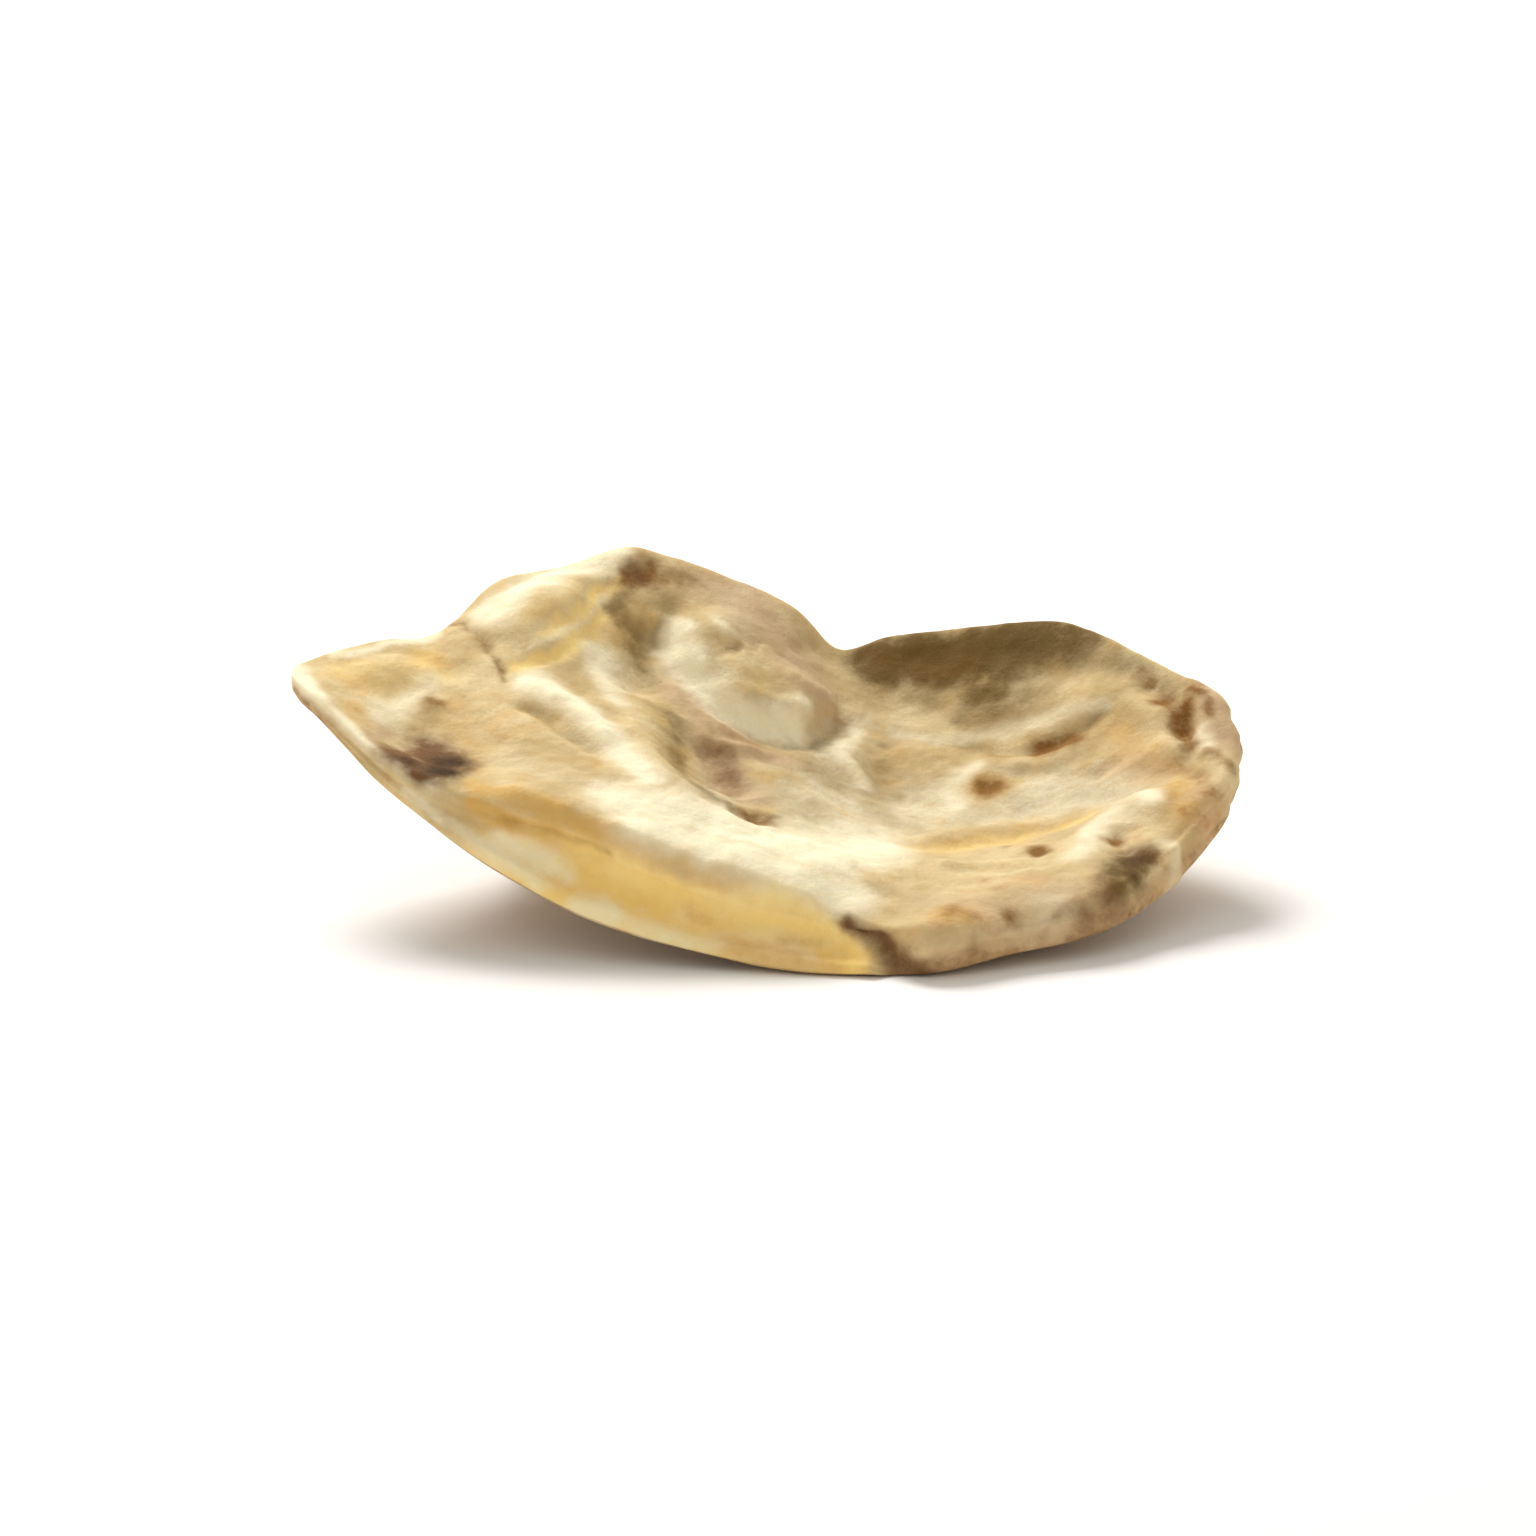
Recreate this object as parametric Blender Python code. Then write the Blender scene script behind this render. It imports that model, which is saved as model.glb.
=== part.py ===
"""A dried slice of bletilla tuber: one solid, lying on its bark side as it would on a table.

The slice is a thick chip, cut across one branch of the tuber. Its cut face dried into a dish that
climbs to a pointed tip on the left and to a wall at the back. The bark side is convex, with a stout
belly at the back left, and carries the weight on three low spots.

Frame: +X to the right, +Y away from the viewer, +Z up, origin on the table under the slice's middle.
Tables and constants are in millimetres; the mesh is written in metres.
"""

import math

import bpy
import numpy as np
from mathutils import Vector, noise

MM = 0.001

NODE_NAME = "tuber_slice"
SEGMENTS = 140
FACE_RINGS = 22
EDGE_RINGS = 5
BARK_RINGS = 14

# The middle of the cut face, where the rings of the mesh start.
MIDDLE = (0.5, -0.4)

# Stations round the rim, anticlockwise from the right end: x, y, height of the cut face's edge,
# depth of the edge band below it, how far the bark lip stands out past it, and how far the band
# is drawn in at half its depth (less than zero where it swells).
RIM = (
    (15.6, 1.2, 5.1, 1.7, -0.2, -0.25),
    (14.9, 3.8, 6.2, 1.6, -0.3, -0.25),
    (13.0, 6.4, 6.8, 1.7, -0.2, -0.2),
    (10.2, 8.4, 7.5, 1.9, -0.2, -0.2),
    (7.0, 9.2, 7.05, 2.0, -0.2, -0.2),
    (4.2, 9.3, 6.6, 2.0, -0.2, -0.2),
    (2.4, 9.0, 6.4, 2.1, -0.2, -0.2),
    (1.2, 9.2, 7.6, 2.4, -0.2, -0.2),
    (-1.8, 9.3, 9.0, 2.8, -0.2, -0.2),
    (-4.8, 9.0, 9.95, 3.0, -0.2, -0.2),
    (-6.9, 8.2, 9.4, 2.8, -0.2, -0.15),
    (-9.2, 7.0, 9.2, 2.4, -0.2, -0.1),
    (-10.5, 5.4, 8.25, 1.9, -0.1, -0.1),
    (-11.4, 4.3, 7.9, 1.6, -0.1, -0.1),
    (-13.2, 3.1, 8.0, 1.2, -0.1, -0.1),
    (-15.2, 1.4, 7.9, 0.8, -0.1, -0.05),
    (-15.8, 0.3, 7.8, 0.7, -0.1, -0.05),
    (-15.0, -1.4, 7.5, 0.8, 0.0, 0.0),
    (-12.9, -3.8, 6.2, 1.1, 0.1, 0.1),
    (-9.9, -5.6, 5.1, 1.8, 0.3, 0.35),
    (-6.4, -6.9, 4.2, 2.5, 0.6, 0.55),
    (-2.7, -7.7, 2.9, 2.2, 0.8, 0.55),
    (1.0, -8.3, 1.9, 1.75, 0.9, 0.4),
    (3.4, -8.6, 1.6, 1.6, 0.8, 0.2),
    (5.2, -9.3, 1.8, 1.7, 0.0, -0.2),
    (8.0, -8.6, 2.3, 1.9, -0.1, -0.3),
    (11.3, -6.6, 2.8, 2.0, 0.0, -0.3),
    (13.6, -4.1, 3.7, 2.2, 0.0, -0.3),
    (15.1, -1.4, 4.5, 1.9, -0.1, -0.3),
)

# Heights of the cut face inside the rim: x, y, z.
FACE_SPOTS = (
    (6.0, -2.0, 2.3),
    (7.5, 2.5, 3.0),
    (4.5, 5.0, 3.9),
    (9.5, 5.0, 4.3),
    (4.0, 7.5, 4.9),
    (12.0, 0.5, 3.6),
    (10.5, -3.5, 2.7),
    (0.5, -6.0, 3.2),
    (-4.5, -5.0, 4.8),
    (-8.0, -1.5, 6.0),
    (-0.2, -3.0, 3.7),
    (1.5, 1.0, 3.9),
    (-2.0, 2.0, 5.2),
    (-4.5, 4.0, 7.0),
    (-8.0, 4.5, 8.5),
    (-0.5, 6.5, 6.6),
    (-12.0, 0.5, 6.9),
    (-11.5, -2.0, 5.5),
)

# Heights of the bark side inside the rim: x, y, z. Spots below zero press flat on the table.
BARK_SPOTS = (
    (6.0, -3.0, -0.1),
    (8.5, 0.5, -0.1),
    (4.0, 2.5, 0.8),
    (8.0, 5.0, 2.0),
    (12.0, 1.5, 1.4),
    (0.0, -3.0, 0.9),
    (-3.0, -3.0, 1.6),
    (-8.0, -2.0, 3.2),
    (-12.0, 0.0, 5.0),
    (-5.5, 4.5, -0.3),
    (-8.5, 5.0, 2.2),
    (-2.2, 6.0, 1.8),
    (-5.2, 7.6, 3.2),
    (-5.5, 1.5, 0.9),
)

# Ridges and grooves on the cut face: points of the course, half width, height.
FACE_STROKES = (
    # the rounded shoulder above the edge band
    (((-10.0, -4.4), (-7.3, -5.4), (-4.9, -6.0), (-2.2, -6.3), (0.6, -6.7), (2.4, -7.4)), 1.0, 0.35),
    # the curved groove in the left lobe, the thin ridge beside it and the hollow next to that
    (((-8.5, 1.8), (-7.0, 2.6), (-5.9, 4.4), (-5.0, 6.3), (-4.2, 7.4)), 0.5, -0.5),
    (((-6.3, 1.9), (-5.3, 3.7), (-4.5, 5.5), (-3.9, 6.8)), 0.45, 0.25),
    (((-4.7, 2.2), (-4.1, 4.4), (-3.6, 6.2)), 0.7, -0.55),
    # the shallow trough down the tongue
    (((-0.9, 8.0), (0.2, 6.6), (0.6, 5.2)), 0.8, -0.22),
    # the crack at the root of the tip
    (((-11.2, 5.0), (-10.2, 3.9), (-9.4, 2.5), (-8.4, 0.9)), 0.4, -0.45),
    # waves between the lobe and the front shoulder
    (((-8.6, 1.3), (-6.3, 1.3), (-4.9, 0.0), (-3.8, -2.0)), 0.6, 0.35),
    (((-8.6, -0.2), (-7.1, -0.2), (-5.9, -1.7), (-5.0, -3.2)), 0.55, -0.3),
    (((-13.9, 0.9), (-12.4, 1.6), (-10.8, 1.7)), 0.5, 0.25),
    # the valley below the tongue, and its brink
    (((-2.3, 2.4), (-1.9, 0.4), (-1.2, -1.2), (-0.4, -2.4)), 0.85, -0.75),
    (((-3.3, 1.6), (-3.2, -0.7), (-2.4, -2.6), (-1.2, -3.5), (0.2, -3.7)), 0.5, 0.25),
    # creases of the right dish
    (((2.8, 6.4), (5.2, 5.9), (7.7, 6.2), (10.2, 5.9), (11.9, 5.2)), 0.55, 0.4),
    (((6.5, 5.3), (8.5, 4.5), (9.7, 4.1), (11.0, 4.3), (12.2, 4.5)), 0.5, -0.4),
    (((4.6, -3.6), (6.8, -1.8), (9.4, -1.2), (11.4, -1.3)), 0.5, 0.28),
    (((5.2, -4.4), (7.2, -2.9), (9.4, -2.4), (11.0, -2.6)), 0.5, -0.2),
    (((3.4, 2.2), (4.6, 0.4), (6.4, -0.3), (9.0, 0.6)), 0.7, -0.25),
    # the raised rim at the right
    (((13.2, 0.0), (12.2, -2.0), (11.2, -4.6), (10.1, -6.6)), 0.5, 0.35),
    (((12.6, 5.2), (13.4, 3.0), (13.3, 0.8)), 0.5, 0.3),
)

# Round forms on the cut face: x, y, the two half widths, turn in degrees, height, and the share of
# the half width over which the flank falls.
FACE_MOUNDS = (
    # the left lobe
    (-7.1, 5.8, 2.6, 1.6, 48.0, 0.5, 0.9),
    (-4.1, 7.8, 0.8, 0.7, 0.0, -0.35, 0.9),
    # the tongue, its knob and its lower end
    (-0.4, 6.1, 3.2, 3.55, 0.0, 0.95, 0.55),
    (-1.5, 7.2, 0.8, 0.7, 0.0, 0.3, 0.9),
    (0.9, 4.3, 1.2, 0.9, 20.0, 0.25, 0.9),
    (-0.4, -2.7, 0.7, 0.5, -30.0, -0.35, 0.9),
    # the root knot on the tip
    (-11.3, -2.4, 1.6, 2.0, -35.0, 0.25, 0.4),
    (-11.3, -2.4, 1.2, 1.6, -35.0, -0.85, 0.7),
    (-11.2, 0.2, 0.8, 0.7, 0.0, 0.2, 0.9),
    # the small pit in the dish, with its swollen brink, and a speck
    (7.3, 2.5, 1.0, 1.1, 0.0, 0.14, 0.9),
    (7.3, 2.5, 0.6, 0.7, 0.0, -0.7, 0.9),
    (9.0, -3.3, 0.6, 0.5, 0.0, -0.25, 0.9),
    # the knob and the dent of the right rim
    (12.9, -0.9, 0.95, 0.85, 0.0, 0.4, 0.9),
    (12.6, -4.0, 0.8, 1.4, -30.0, -0.5, 0.9),
)

# Root scars on the bark side: x, y and half width.
BARK_SCARS = (
    (0.4, 3.6, 0.7),
    (3.4, 5.8, 0.6),
    (5.6, 1.2, 0.6),
    (9.4, 4.2, 0.55),
    (-1.4, -1.6, 0.7),
    (2.6, -1.4, 0.55),
    (-9.6, 1.0, 0.6),
    (-5.6, -3.4, 0.65),
    (11.6, -1.6, 0.55),
    (-1.0, 7.6, 0.5),
)
SCAR_HEIGHT = 0.3

# The slanting split in the front edge, as shares of the way round the rim, and its depth.
SPLIT_SHARE = 0.785
SPLIT_SLANT = 0.026
SPLIT_WIDTH = 0.006
SPLIT_DEPTH = 0.8

# Growth rings of the bark side, round the stout belly.
RING_CENTRE = (-5.5, 5.0)
RING_PITCH = 3.0
RING_HEIGHT = 0.18

# Shrinkage waves, over all and on the bark side, and the crust of the right end.
WAVE_PITCH = 3.2
WAVE_HEIGHT = 0.15
WRINKLE_PITCH = 2.4
WRINKLE_HEIGHT = 0.15
CRUST_CENTRE = (15.2, 2.0)
CRUST_REACH = 4.5
CRUST_PITCH = 1.5
CRUST_HEIGHT = 0.34

COLOUR = (0.62, 0.46, 0.23, 1.0)
ROUGHNESS = 0.6


def closed_curve(stations, places):
    """Smooth closed curve through the stations, read at places counted in stations."""
    points = np.array(stations, float)
    count = len(points)
    whole = np.floor(places).astype(int)
    part = (places - whole)[:, None]
    before, start, end, after = (points[(whole + shift) % count] for shift in (-1, 0, 1, 2))
    return 0.5 * (
        2 * start
        + (end - before) * part
        + (2 * before - 5 * start + 4 * end - after) * part**2
        + (3 * start - before - 3 * end + after) * part**3
    )


def even_places(stations, shares):
    """Places in stations that lie at the given shares of the curve's length in plan."""
    places = np.linspace(0, len(stations), 40 * len(stations) + 1)
    curve = closed_curve(stations, places)[:, :2]
    run = np.concatenate([[0], np.cumsum(np.linalg.norm(np.diff(curve, axis=0), axis=1))])
    return np.interp(np.mod(shares, 1.0) * run[-1], run, places)


class HeightMap:
    """A thin sheet bent through spot heights, as a steel rule would lie."""

    def __init__(self, spots, slack=0.02):
        spots = np.array(spots, float)
        self.xy = spots[:, :2]
        count = len(spots)
        flat = np.column_stack([np.ones(count), self.xy])
        system = np.zeros((count + 3, count + 3))
        system[:count, :count] = self.bend(self.xy) + slack * np.eye(count)
        system[:count, count:] = flat
        system[count:, :count] = flat.T
        self.weights = np.linalg.solve(system, np.concatenate([spots[:, 2], np.zeros(3)]))

    def bend(self, xy):
        gap = np.linalg.norm(xy[:, None, :] - self.xy[None, :, :], axis=2)
        return gap**2 * np.log(np.maximum(gap, 1e-9))

    def at(self, xy):
        count = len(self.xy)
        sheet = self.bend(xy) @ self.weights[:count]
        return sheet + self.weights[count] + xy @ self.weights[count + 1 :]


def smooth_step(value):
    value = np.clip(value, 0, 1)
    return value * value * (3 - 2 * value)


def course(points, count=20):
    """Evenly read points of an open smooth line through the given ones."""
    points = np.array(points, float)
    padded = np.vstack([2 * points[0] - points[1], points, 2 * points[-1] - points[-2]])
    places = np.linspace(1, len(points) - 1e-6, count)
    return closed_curve(padded, places)


def stroke(xy, points, half_width, height):
    """A ridge or groove along a line, fading out at both ends."""
    line = course(points)
    step = np.diff(line, axis=0)
    offset = xy[:, None, :] - line[None, :-1, :]
    part = np.clip((offset * step).sum(axis=2) / (step**2).sum(axis=1), 0, 1)
    gap = np.linalg.norm(offset - part[:, :, None] * step, axis=2)
    nearest = gap.argmin(axis=1)
    along = (nearest + part[np.arange(len(xy)), nearest]) / len(step)
    fade = smooth_step(np.minimum(along, 1 - along) * 4 + 0.15)
    return height * fade * np.exp(-((gap.min(axis=1) / half_width) ** 2))


def mound(xy, x, y, half_x, half_y, turn, height, flank):
    """A round swelling, or a pit where the height is negative."""
    angle = math.radians(turn)
    dx, dy = xy[:, 0] - x, xy[:, 1] - y
    across = (dx * math.cos(angle) + dy * math.sin(angle)) / half_x
    along = (dy * math.cos(angle) - dx * math.sin(angle)) / half_y
    return height * smooth_step((1 - np.hypot(across, along)) / flank)


def waves(points, pitch, seed):
    """Smooth irregular waves between about -1 and 1."""
    shift = Vector((seed, 1.7 * seed, -0.6 * seed))
    return np.array([noise.noise(Vector(p) / pitch + shift) for p in points]) * 1.6


def ball():
    """The ball that the slice is pressed from, and each vertex's place round and down it."""
    rings = FACE_RINGS + EDGE_RINGS + BARK_RINGS
    bpy.ops.mesh.primitive_uv_sphere_add(segments=SEGMENTS, ring_count=rings, radius=1)
    obj = bpy.context.object
    points = np.array([v.co for v in obj.data.vertices], float)
    share = np.arctan2(points[:, 1], points[:, 0]) / (2 * math.pi)
    ring = np.arccos(np.clip(points[:, 2], -1, 1)) / math.pi * rings
    return obj, share, ring


def rim_at(share):
    """Rim values and outward direction in plan at each share of the way round."""
    rim = closed_curve(RIM, even_places(RIM, share))
    ahead = closed_curve(RIM, even_places(RIM, share + 0.002))[:, :2]
    behind = closed_curve(RIM, even_places(RIM, share - 0.002))[:, :2]
    along = ahead - behind
    along /= np.linalg.norm(along, axis=1)[:, None]
    return rim, np.column_stack([along[:, 1], -along[:, 0]])


def split_notch(share, down):
    """How far the band is parted along the slanting split in the front edge."""
    centre = SPLIT_SHARE + SPLIT_SLANT * (down - 0.5)
    gap = np.abs((share - centre + 0.5) % 1.0 - 0.5) / SPLIT_WIDTH
    return SPLIT_DEPTH * np.exp(-gap * gap) * (0.35 + 0.65 * down)


def press(share, ring):
    """Lays the ball's vertices on the cut face, the edge band and the bark side."""
    rim, outward = rim_at(share)
    rim_spots = [station[:3] for station in RIM]
    bark_rim = [(x, y, max(top - band, 0.0)) for x, y, top, band, _lip, _draw in RIM]
    face_map = HeightMap(list(FACE_SPOTS) + rim_spots)
    bark_map = HeightMap(list(BARK_SPOTS) + bark_rim)

    on_face = ring <= FACE_RINGS + 1e-6
    on_bark = ring >= FACE_RINGS + EDGE_RINGS - 1e-6
    down = np.clip((ring - FACE_RINGS) / EDGE_RINGS, 0, 1)
    rings = FACE_RINGS + EDGE_RINGS + BARK_RINGS
    reach = np.where(on_face, ring / FACE_RINGS, np.where(on_bark, (rings - ring) / BARK_RINGS, 1))

    lip = rim[:, 4] * down - rim[:, 5] * np.sin(math.pi * down) - split_notch(share, down)
    edge = rim[:, :2] + outward * lip[:, None]
    xy = np.array(MIDDLE) + (edge - np.array(MIDDLE)) * reach[:, None]
    face_z = face_map.at(xy)
    bark_z = bark_map.at(xy)
    edge_z = face_map.at(rim[:, :2]) * (1 - down) + bark_map.at(edge) * down
    z = np.where(on_face, face_z, np.where(on_bark, bark_z, edge_z))
    return np.column_stack([xy, z]), on_face, on_bark, reach


def face_relief(xy, reach):
    raised = sum(stroke(xy, *values) for values in FACE_STROKES)
    raised = raised + sum(mound(xy, *values) for values in FACE_MOUNDS)
    return raised * smooth_step((1 - reach) * 9 + 0.25)


def bark_relief(points, reach):
    from_centre = np.linalg.norm(points[:, :2] - np.array(RING_CENTRE), axis=1)
    rings = np.cos(2 * math.pi * from_centre / RING_PITCH) * RING_HEIGHT
    scars = sum(
        mound(points[:, :2], x, y, half, half, 0.0, SCAR_HEIGHT, 0.7) for x, y, half in BARK_SCARS
    )
    wrinkles = waves(points, WRINKLE_PITCH, 7.7) * WRINKLE_HEIGHT
    return (rings + scars + wrinkles) * smooth_step((1 - reach) * 4)


def crust(points):
    """The crumbly skin at the right end."""
    gap = np.linalg.norm(points[:, :2] - np.array(CRUST_CENTRE), axis=1)
    return waves(points, CRUST_PITCH, 5.9) * CRUST_HEIGHT * smooth_step(1 - gap / CRUST_REACH)


def write_points(mesh, points):
    mesh.vertices.foreach_set("co", (points * MM).ravel())
    mesh.update()


def material():
    shade = bpy.data.materials.new(NODE_NAME)
    shade.use_nodes = True
    surface = shade.node_tree.nodes["Principled BSDF"]
    surface.inputs["Base Color"].default_value = COLOUR
    surface.inputs["Roughness"].default_value = ROUGHNESS
    surface.inputs["Metallic"].default_value = 0.0
    return shade


def main():
    for old in list(bpy.data.objects):
        bpy.data.objects.remove(old)
    obj, share, ring = ball()
    obj.name = NODE_NAME
    mesh = obj.data
    mesh.name = NODE_NAME
    points, on_face, on_bark, reach = press(share, ring)
    write_points(mesh, points)
    normals = np.array([normal.vector for normal in mesh.vertex_normals], float)
    raised = waves(points, WAVE_PITCH, 3.1) * WAVE_HEIGHT + crust(points)
    raised += np.where(on_face, face_relief(points[:, :2], reach), 0)
    raised += np.where(on_bark, bark_relief(points, reach), 0)
    points += normals * raised[:, None]
    points[:, 2] = np.maximum(points[:, 2], 0)
    points[:, :2] -= (points.max(axis=0) + points.min(axis=0))[:2] / 2
    write_points(mesh, points)
    mesh.shade_smooth()
    mesh.materials.append(material())


main()
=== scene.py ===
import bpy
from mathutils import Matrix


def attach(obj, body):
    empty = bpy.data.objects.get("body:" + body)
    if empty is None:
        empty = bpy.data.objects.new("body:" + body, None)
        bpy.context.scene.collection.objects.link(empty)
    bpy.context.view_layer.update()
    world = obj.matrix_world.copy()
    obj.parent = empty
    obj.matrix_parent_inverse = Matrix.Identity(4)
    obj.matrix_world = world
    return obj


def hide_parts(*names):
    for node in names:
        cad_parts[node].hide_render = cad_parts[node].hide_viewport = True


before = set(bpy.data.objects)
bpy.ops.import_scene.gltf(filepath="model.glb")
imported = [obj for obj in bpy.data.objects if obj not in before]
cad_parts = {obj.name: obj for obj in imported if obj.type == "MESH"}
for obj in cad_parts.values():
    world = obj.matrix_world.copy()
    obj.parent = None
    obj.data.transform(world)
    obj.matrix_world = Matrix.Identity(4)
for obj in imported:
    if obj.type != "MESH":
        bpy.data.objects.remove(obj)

"""Dried bletilla tuber slice on a pale table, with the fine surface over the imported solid.

The slice is pressed from one ball: its upper rings become the cut face, the next ones the edge
band and the last ones the bark side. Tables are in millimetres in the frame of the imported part,
with +X towards the round end, +Y away from the viewer and +Z up.
"""

import logging
import math
from dataclasses import dataclass
from enum import Enum

import bmesh
import bpy
import numpy as np
from mathutils import Vector, noise

log = logging.getLogger("tuber_slice")

MM = 0.001
PIECE_NAME = "dried_slice"
NODE_NAME = "tuber_slice"

Plan = tuple[float, float]
Colour = tuple[float, float, float, float]


class Side(Enum):
    """The three sides of the slice, from the top of the ball down."""

    FACE = 0
    EDGE = 1
    BARK = 2


class Tint(Enum):
    """Colour areas of the slice, each kept in a point attribute of the same name."""

    # pale flesh, and painted highlight on the shoulder, the ridges, the tongue's flank and the rims
    PALE_AND_HIGHLIGHT = "pale"
    # painted shade: the back wall of the dish, its folds, the hollows and the valley's brink
    OLIVE_SHADE = "olive"
    OCHRE = "ochre"
    PINK = "pink"
    BROWN = "brown"
    DARK = "dark"
    MOTTLE = "mottle"
    WARM = "warm"
    BAND = "band"
    BARK = "bark"
    CREASE = "crease"
    GREY = "grey"


# smooth lines and sheets


def closed_curve(stations: np.ndarray, places: np.ndarray) -> np.ndarray:
    """Read a smooth closed curve that runs through its stations.

    Args:
        stations: One row of values for each station.
        places: Places on the curve, counted in stations.

    Returns:
        One row of values for each place.
    """
    points = np.array(stations, float)
    count = len(points)
    whole = np.floor(places).astype(int)
    part = (places - whole)[:, None]
    before, start, end, after = (points[(whole + shift) % count] for shift in (-1, 0, 1, 2))
    return 0.5 * (
        2 * start
        + (end - before) * part
        + (2 * before - 5 * start + 4 * end - after) * part**2
        + (3 * start - before - 3 * end + after) * part**3
    )


def smooth_step(value: np.ndarray) -> np.ndarray:
    """Ease a value from 0 to 1 between those two."""
    value = np.clip(value, 0, 1)
    return value * value * (3 - 2 * value)


def bell(gap: np.ndarray, half_width: float) -> np.ndarray:
    """Fall off smoothly from 1 with the distance from a middle."""
    return np.exp(-((gap / half_width) ** 2))


def distance(points: np.ndarray, middle: np.ndarray | Plan) -> np.ndarray:
    """Measure how far points lie from a middle, in plan or in space."""
    return np.linalg.norm(points - np.array(middle), axis=1)


def open_line(course: tuple[Plan, ...], count: int = 44) -> np.ndarray:
    """Read an open smooth line through the points of a course.

    Args:
        course: Points of the line in plan; a single point is kept as it is.
        count: Number of points to read.

    Returns:
        The points of the line, one row each.
    """
    points = np.array(course, float)
    if len(points) == 1:
        return np.vstack([points, points + 1e-6])
    padded = np.vstack([2 * points[0] - points[1], points, 2 * points[-1] - points[-2]])
    return closed_curve(padded, np.linspace(1, len(points) - 1e-6, count))


def near_line(xy: np.ndarray, course: tuple[Plan, ...], reach: float) -> tuple[np.ndarray, ...]:
    """Measure how far points in plan lie from a line.

    Args:
        xy: Points in plan.
        course: Points of the line.
        reach: Distance past which a point is left out.

    Returns:
        Numbers of the points in reach, their distance from the line (less than zero to the right
        of its direction), and how far along the line each lies, from 0 to 1.
    """
    line = open_line(course)
    low, high = line.min(axis=0) - reach, line.max(axis=0) + reach
    inside = np.flatnonzero(((xy > low) & (xy < high)).all(axis=1))
    step = np.diff(line, axis=0)
    offset = xy[inside][:, None, :] - line[None, :-1, :]
    part = np.clip((offset * step).sum(axis=2) / (step**2).sum(axis=1), 0, 1)
    gap = np.linalg.norm(offset - part[:, :, None] * step, axis=2)
    nearest = gap.argmin(axis=1)
    rows = np.arange(len(inside))
    along = (nearest + part[rows, nearest]) / len(step)
    course_step, aside = step[nearest], offset[rows, nearest]
    turn = course_step[:, 0] * aside[:, 1] - course_step[:, 1] * aside[:, 0]
    return inside, np.where(turn < 0, -1, 1) * gap[rows, nearest], along


def waves(points: np.ndarray, pitch: float | Plan, seed: float) -> np.ndarray:
    """Read smooth irregular waves at points.

    Args:
        points: Points in plan or in space.
        pitch: Size of the waves, the same all ways or one for each axis.
        seed: Choice of the waves.

    Returns:
        A value between about -1 and 1 for each point.
    """
    places = np.zeros((len(points), 3))
    places[:, : points.shape[1]] = points / np.array(pitch)
    shift = Vector((seed, 1.7 * seed, -0.6 * seed))
    return np.array([noise.noise(Vector(place) + shift) for place in places]) * 1.6


class HeightMap:
    """A thin sheet bent through spot heights, as a steel rule would lie."""

    def __init__(self, spots: list[tuple[float, float, float]], slack: float = 0.02) -> None:
        """Bend the sheet.

        Args:
            spots: Plan place and height of each spot.
            slack: How far the sheet may pass a spot by, as a share of its stiffness.
        """
        table = np.array(spots, float)
        self.xy = table[:, :2]
        count = len(table)
        flat = np.column_stack([np.ones(count), self.xy])
        system = np.zeros((count + 3, count + 3))
        system[:count, :count] = self.bend(self.xy) + slack * np.eye(count)
        system[:count, count:] = flat
        system[count:, :count] = flat.T
        self.weights = np.linalg.solve(system, np.concatenate([table[:, 2], np.zeros(3)]))

    def bend(self, xy: np.ndarray) -> np.ndarray:
        """Give how much each spot lifts the sheet at points in plan."""
        gap = np.linalg.norm(xy[:, None, :] - self.xy[None, :, :], axis=2)
        return gap**2 * np.log(np.maximum(gap, 1e-9))

    def at(self, xy: np.ndarray) -> np.ndarray:
        """Read the sheet.

        Args:
            xy: Points in plan.

        Returns:
            The sheet's height at each point.
        """
        count = len(self.xy)
        sheet = self.bend(xy) @ self.weights[:count]
        return sheet + self.weights[count] + xy @ self.weights[count + 1 :]


# forms on the surface

# Distance from its line at which a fold, or a ledge or coloured stroke, is left out, in its own widths.
FOLD_REACH = 3.0
STEP_REACH = 2.5


@dataclass(frozen=True)
class Ripple:
    """Smooth irregular waves: their pitch, their height and the choice of them."""

    pitch: float | Plan
    height: float
    seed: float

    def lift(self, points: np.ndarray) -> np.ndarray:
        """Give how far the waves raise points."""
        return waves(points, self.pitch, self.seed) * self.height


@dataclass(frozen=True)
class Stretch:
    """A stretch of the rim and its two soft ends, in shares of the way round."""

    start: float
    end: float
    fade_in: float
    fade_out: float

    def cover(self, share: np.ndarray) -> np.ndarray:
        """Read the stretch.

        Args:
            share: Places round the rim.

        Returns:
            1 on the stretch, easing to 0 at its ends, for each place.
        """
        share = np.mod(share, 1.0)
        entered = smooth_step((share - self.start) / self.fade_in)
        return entered * smooth_step((self.end - share) / self.fade_out)


@dataclass(frozen=True)
class Fold:
    """A ridge, or a groove where the height is negative, along a line on the slice."""

    course: tuple[Plan, ...]
    half_width: float
    height: float
    taper: float = 4.0
    blunt: float = 0.15

    def lift(self, xy: np.ndarray) -> np.ndarray:
        """Read how far the fold raises points.

        Args:
            xy: Points laid flat.

        Returns:
            One height for each point.
        """
        raised = np.zeros(len(xy))
        inside, gap, along = near_line(xy, self.course, FOLD_REACH * self.half_width)
        fade = smooth_step(np.minimum(along, 1 - along) * self.taper + self.blunt)
        raised[inside] = self.height * fade * bell(gap, self.half_width)
        return raised


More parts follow.
